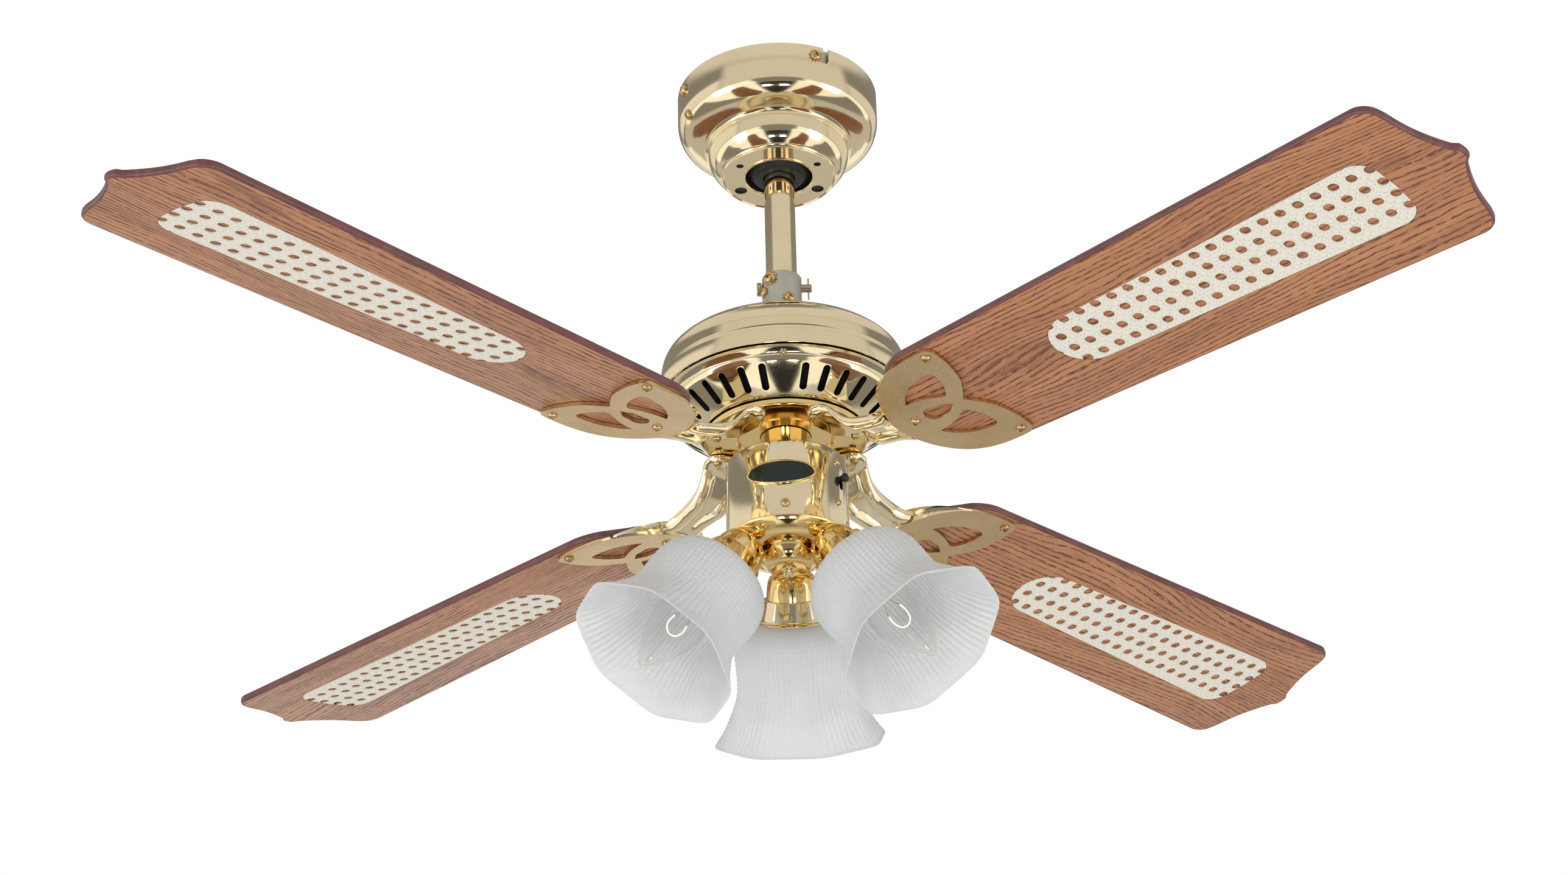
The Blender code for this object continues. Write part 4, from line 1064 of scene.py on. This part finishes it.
def build_nozzle(number, place):
    dome = route(
        [(0, 0.1120), (0.0090, 0.1120)],
        [(0.0118, 0.1112), (0.0145, 0.1088), (0.0160, 0.1045), (0.0167, 0.0995), (0.0171, 0.0948)],
        [(0, 0.0948)],
    )
    piece(f"nozzle_{number}", lathe(dome, 72), HANGING, BRASS_PAINTED_AMBER, place)


def build_cup(number, place, first_turn):
    """The cup that holds a shade's neck, and its three thumb screws."""
    cup = route(
        [(0.0060, 0.0950), (0.0184, 0.0950)],
        [(0.0190, 0.0948), (0.0193, 0.0942)],
        [(0.0217, 0.0838)],
        [(0.0224, 0.0822), (0.0240, 0.0812), (0.0256, 0.0808)],
    )
    mesh = lathe(walled(cup, THIN_SHEET), 96)
    piece(f"lamp_cup_pressed_{number}", mesh, HANGING, POLISHED, place, [f"lamp_cup_{number}"])
    screw_mesh, lean = thumb_screw_mesh(), spin(90 + 13, "Y")
    for k in range(3):
        seat = place @ spin(first_turn + 120 * k) @ shift(0.0211, 0, 0.0868) @ lean
        piece(f"thumb_screw_{number}_{k + 1}", screw_mesh, HANGING, SCREW_BRASS, seat)


def thumb_screw_mesh():
    """A small knurled screw that clamps the shade's neck."""
    sides, knurled_r, knurl = 40, 0.0027, 0.05
    levels = ((0.0003, 0.0012), (0.0004, 0.0024), (0.0008, knurled_r), (0.0026, knurled_r), (0.0031, 0.0023),
              (0.0034, 0.0008))
    rings = []
    for z, radius in levels:
        depth = knurl if radius == knurled_r else 0.0
        ridges = [1 + depth * (1 if k % 2 else -1) for k in range(sides)]
        rings.append([(x * ridge, y * ridge, z) for (x, y), ridge in zip(circle(radius, sides), ridges)])
    return skin(rings, 30)


def build_socket(number, place):
    mouth = eased([(0.0130, 0.0938), (0.0130, 0.0620), (0.0074, 0.0620), (0.0074, 0.0860)], 0.0008)
    mesh = lathe([(0, 0.0938), *mouth, (0, 0.0860)], 48)
    piece(f"lamp_socket_moulded_{number}", mesh, HANGING, WHITE, place, [f"lamp_socket_{number}"])


def glass_shell(outer, wall):
    """A blown bulb's profile: from its inner pole up to the open neck, and on to its outer pole."""
    inner = [(max(r, 0.0), z) for r, z in offset(outer, wall)[:-1]]
    inner = [(r, z) for r, z in inner if r > 0.0004 or z > 0.0] + [(0.0, outer[-1][1] + wall)]
    return inner[::-1] + outer


def build_bulb(number, place):
    outer = route(
        [(0.0066, 0.0640), (0.0067, 0.0600)],
        [(0.0088, 0.0562), (0.0128, 0.0500), (0.0158, 0.0430), (0.0171, 0.0340), (0.0166, 0.0240),
         (0.0141, 0.0130), (0.0107, 0.0035), (0.0073, -0.0040), (0.0038, -0.0087), (0.0018, -0.0107),
         (0, -0.0114)],
        samples=5,
    )
    glass = lathe(glass_shell(outer, 0.0006), 64, 60)
    piece(f"bulb_glass_{number}", glass, HANGING, CLEAR, place, [f"bulb_{number}"])
    cap = [(0, 0.0855), (0.0030, 0.0855), (0.0040, 0.0835), (0.0066, 0.0820)]
    for k in range(9):  # the cap's rolled thread
        z = 0.0815 - 0.0021 * k
        cap += [(0.0069, z), (0.0064, z - 0.00105)]
    cap += [(0.0069, 0.0622), (0.0070, 0.0600), (0.0066, 0.0596), (0, 0.0598)]
    piece(f"bulb_cap_{number}", lathe(cap, 40, 60), HANGING, ZINC, place)
    stem = route(
        [(0, 0.0597), (0.0042, 0.0597)],
        [(0.0034, 0.0540), (0.0026, 0.0490), (0.0018, 0.0460)],
        [(0.0010, 0.0452), (0, 0.0452)],
    )
    piece(f"bulb_stem_{number}", lathe(stem, 28, 60), HANGING, CLEAR, place)


def build_filament(number, place):
    for name, side in (("left", -1), ("right", 1)):
        post = spline([(side * 0.0014, 0, 0.0470), (side * 0.0030, 0, 0.0400), (side * 0.0052, 0, 0.0330)], 5)
        piece(f"filament_post_{number}_{name}", tube(post, 0.0002, 6), HANGING, PIN_STEEL, place)
    half = [(0.0052, 0, 0.0330), (0.0056, 0.0008, 0.0270), (0.0040, 0.0014, 0.0215)]
    loop = spline([*[(-x, y, z) for x, y, z in half], (0.0, 0.0016, 0.0190), *reversed(half)], 8)
    piece(f"filament_{number}", tube(loop, 0.00028, 8), HANGING, GLOW, place)


def build_lamps():
    for i, thumb_turn in enumerate(THUMB_TURNS):
        number, place = i + 1, lamp_frame(i)
        build_nozzle(number, place)
        build_cup(number, place, thumb_turn)
        build_socket(number, place)
        build_bulb(number, place)
        build_filament(number, place)


# ---- Shades ----
def shade_profile(spacing):
    """Points (radius, height, distance from the rim) up the bell's side, spaced by that distance."""
    side = [(0.0566, 0.0), (0.0535, 0.004), (0.0500, 0.009), (0.0468, 0.015), (0.0433, 0.022),
            (0.0402, 0.030), (0.0391, 0.037), (0.0391, 0.045), (0.0395, 0.053), (0.0396, 0.059),
            (0.0390, 0.065), (0.0377, 0.0695), (0.0354, 0.0730), (0.0318, 0.0758), (0.0270, 0.0775),
            (0.0220, 0.0785), (0.0188, 0.0797), (0.0174, 0.0815), (0.0168, 0.0850), (0.0168, 0.0895)]
    fine = [Vector(p) for p in spline(side, 12)]
    line, walked, due = [], 0.0, 0.0
    for start, end in zip(fine, fine[1:]):
        length = (end - start).length
        while due <= walked + length:
            point = start.lerp(end, (due - walked) / length)
            line.append((point.x, point.y, due))
            due += spacing(due)
        walked += length
    return line


def rounded_octagon(radians):
    """The radius of an octagon with rounded corners, as a share of its corners' radius."""
    power = 20

    def reach(a):
        return sum(max(0.0, math.cos(a - k * math.pi / 4)) ** power for k in range(8)) ** (-1 / power)

    return reach(radians + math.pi / 8) / reach(math.pi / 8)


def shade_mesh():
    """A pressed bell that opens into eight soft-cornered sides, fluted within, with beaded ribs outside."""
    steps, wall, bead = RIBS * 6, 0.0022, 0.0033
    angles = [2 * math.pi * k / steps for k in range(steps)]
    octagon = [rounded_octagon(a) for a in angles]

    def ring(r, z, reach, swells):
        shape = 1 - smoothstep(0.004, 0.050, reach)
        radii = [r * (1 + shape * (flat - 1)) + swell for flat, swell in zip(octagon, swells)]
        return [(*polar(radius, a), z) for a, radius in zip(angles, radii)]

    outer = []
    for r, z, reach in shade_profile(lambda distance: bead / 5 if distance < 0.078 else 0.0021):
        fade = (1 - smoothstep(0.072, 0.098, reach)) * smoothstep(-0.002, 0.004, reach)
        wave = 0.5 + 0.5 * math.cos(2 * math.pi * reach / bead)
        crests = [0.5 + 0.5 * math.cos(RIBS * a) for a in angles]
        swells = [fade * (0.00026 * crest + 0.00056 * crest * wave - 0.0004) for crest in crests]
        outer.append(ring(r, z, reach, swells))
    inside = shade_profile(lambda distance: 0.0022)
    line = [(r, z) for r, z, _ in inside]
    inner = []
    for i, (r, z, reach) in enumerate(inside):
        along = direction(line, i)
        fade = (1 - smoothstep(0.074, 0.090, reach)) * smoothstep(-0.003, 0.006, reach)
        swells = [fade * 0.0011 * (abs(math.cos(RIBS / 2 * a)) - 0.4) - along.y * wall for a in angles]
        drop = abs(along.x) * wall * smoothstep(0.03, 0.07, reach)
        inner.append(ring(r, z - drop, reach, swells))
    return skin(outer + inner[::-1], 75, closed=True)


def build_shades():
    shade = shade_mesh()
    for i, turn in enumerate(SHADE_TURNS):
        place = lamp_frame(i) @ spin(turn) @ shift(0, 0, 0.0012)
        piece(f"pressed_shade_{i + 1}", shade, HANGING, FROSTED, place, [f"shade_{i + 1}"])


# ---- CAD pieces that stay as they are ----
KEPT = {
    "hanger_bracket": ZINC, "terminal_block": WHITE, "hanger_pin": ZINC, "motor_shaft": ZINC,
    "upper_bearing": ZINC, "lower_bearing": ZINC, "stator_core": IRON, "winding_upper": COPPER,
    "winding_lower": COPPER, "rotor_case": IRON, "reverse_switch_body": BLACK, "capacitor": BLACK,
}


def dress_kept():
    for name, material in KEPT.items():
        for slot in NODES[name].material_slots:
            slot.material = material


# ---- Stage, lights, camera ----
# What a mirror sees of the studio: how bright, between which turns (in radians, 0 in front, positive to the
# right) and between which rises (the height of a unit direction), each with a soft margin.
MIRRORED_ROOM = (
    (0.44, (-1.00, 1.35, 0.25), (0.02, 0.60, 0.06)),  # the wall in front, above the lens
    (0.60, (-2.40, -1.25, 0.20), (0.02, 0.49, 0.03)),  # the walls at the sides
    (0.50, (1.60, 2.50, 0.20), (0.02, 0.49, 0.03)),
    (0.46, (-2.30, 2.50, 0.25), (0.68, 0.90, 0.08)),  # the ceiling in front
    (0.30, (2.20, 3.20, 0.20), (-0.90, -0.15, 0.10)),  # the floor behind
    (0.30, (-3.20, -2.20, 0.20), (-0.90, -0.15, 0.10)),
    (0.90, (-1.50, -0.45, 0.08), (-0.95, -0.30, 0.06)),  # low on the left
    (0.85, (0.45, 1.42, 0.08), (-0.95, -0.30, 0.06)),  # low on the right
    (0.90, (-2.10, -0.55, 0.15), (-0.28, -0.05, 0.04)),  # the foot of the left wall
    (0.85, (0.60, 2.10, 0.15), (-0.28, -0.05, 0.04)),  # the foot of the right wall
    (-0.22, (-0.30, 0.30, 0.10), (-0.97, -0.50, 0.08)),  # the floor in front
)
DIMMEST = 0.25
LIGHTS = (  # (name, place, size, brightness)
    ("lamp_left", (-0.40, -1.75, -1.95), (0.26, 0.26), 22.0),
    ("lamp_right", (0.32, -1.75, -1.95), (0.26, 0.26), 22.0),
    ("softbox_left", (-2.4, -1.3, -0.9), (1.2, 1.5), 1.3),
    ("softbox_right", (2.4, -1.3, -0.9), (1.2, 1.5), 1.1),
    ("softbox_back", (0, 2.9, -0.1), (3.4, 1.8), 0.5),
)


def build_floor():
    """A pale floor well below, seen by the camera only."""
    side, low = 9.0, -2.2
    mesh = bpy.data.meshes.new("floor")
    mesh.from_pydata([(x, y, low) for x, y in rectangle(-side, -side, side, side)], [], [(0, 1, 2, 3)])
    mesh.materials.append(pale_floor())
    obj = bpy.data.objects.new("floor", mesh)
    bpy.context.scene.collection.objects.link(obj)
    obj.visible_glossy = obj.visible_diffuse = obj.visible_transmission = False


def build_world():
    """The studio's walls: white to the camera, bright in zones to mirrors, and soft to everything else."""
    world = bpy.data.worlds.new("studio")
    bpy.context.scene.world = world
    world.use_nodes = True
    nodes = Nodes(world.node_tree)
    x, y, rise = nodes.split(nodes.add("TexCoord").outputs["Generated"])
    turn = nodes.calc("ARCTAN2", x, nodes.calc("MULTIPLY", y, -1.0))
    bright = DIMMEST
    for amount, turns, rises in MIRRORED_ROOM:
        zone = nodes.calc("MULTIPLY", nodes.band(turn, *turns), nodes.band(rise, *rises))
        bright = nodes.calc("MULTIPLY_ADD", zone, amount, bright)
    softness = nodes.calc("MULTIPLY_ADD", rise, -0.34, 0.72)
    room = nodes.add("Background", Color=(1.0, 0.95, 0.87), Strength=bright)
    soft = nodes.add("Background", Color=(1.0, 0.99, 0.975), Strength=softness)
    white = nodes.add("Background", Color=(1.0, 1.0, 1.0), Strength=1.0)
    path = nodes.add("LightPath").outputs
    opaque = nodes.calc("SUBTRACT", 1.0, path["Is Transmission Ray"])
    mirror = nodes.calc("MULTIPLY", path["Is Glossy Ray"], opaque)
    shader = soft.outputs[0]
    for share, other in ((mirror, room), (path["Is Camera Ray"], white)):
        mix = nodes.add("MixShader", Fac=share)
        nodes.feed(mix.inputs[1], shader)
        nodes.feed(mix.inputs[2], other.outputs[0])
        shader = mix.outputs[0]
    nodes.feed(nodes.tree.nodes["World Output"].inputs["Surface"], shader)


def build_lights():
    """Two lamps beside the lens and soft panels round the object. A panel's power follows its brightness."""
    centre = Vector((0, 0, -0.25))
    for name, place, size, bright in LIGHTS:
        light = bpy.data.lights.new(name, "AREA")
        light.shape = "RECTANGLE"
        light.size, light.size_y = size
        light.energy = bright * math.pi * size[0] * size[1]
        obj = bpy.data.objects.new(name, light)
        obj.location = place
        obj.rotation_euler = (centre - Vector(place)).to_track_quat("-Z", "Y").to_euler()
        obj.visible_camera = False
        bpy.context.scene.collection.objects.link(obj)


def build_camera():
    """The view from below and in front, with a slight roll."""
    lens, distance, height = 74.76708, 1.864, -1.2743
    pitch, yaw, roll = 0.49628, -0.0006, -0.0258  # radians
    cp, sp, cy, sy = math.cos(pitch), math.sin(pitch), math.cos(yaw), math.sin(yaw)
    level, up, ahead = Vector((cy, -sy, 0)), Vector((-sy * sp, -cy * sp, cp)), Vector((sy * cp, cy * cp, sp))
    right = level * math.cos(roll) + up * math.sin(roll)
    top = up * math.cos(roll) - level * math.sin(roll)
    camera = bpy.data.cameras.new("camera")
    camera.sensor_fit, camera.sensor_width, camera.lens = "HORIZONTAL", 36, lens
    camera.clip_start, camera.clip_end = 0.05, 60
    obj = bpy.data.objects.new("camera", camera)
    obj.matrix_world = shift(0, -distance, height) @ Matrix((right, top, -ahead)).transposed().to_4x4()
    bpy.context.scene.collection.objects.link(obj)
    bpy.context.scene.camera = obj
    bpy.context.scene.view_settings.view_transform = "Standard"


build_canopy()
build_seat()
build_ball()
build_rod()
build_collar()
build_coupling_pin()
build_collar_screws()
build_motor_housing()
build_vent_ring()
build_rotor_flange()
build_blades()
build_switch_housing()
build_knob()
build_case_screws()
build_badge()
build_pan_and_hub()
build_lamps()
build_shades()
dress_kept()
build_floor()
build_world()
build_lights()
build_camera()
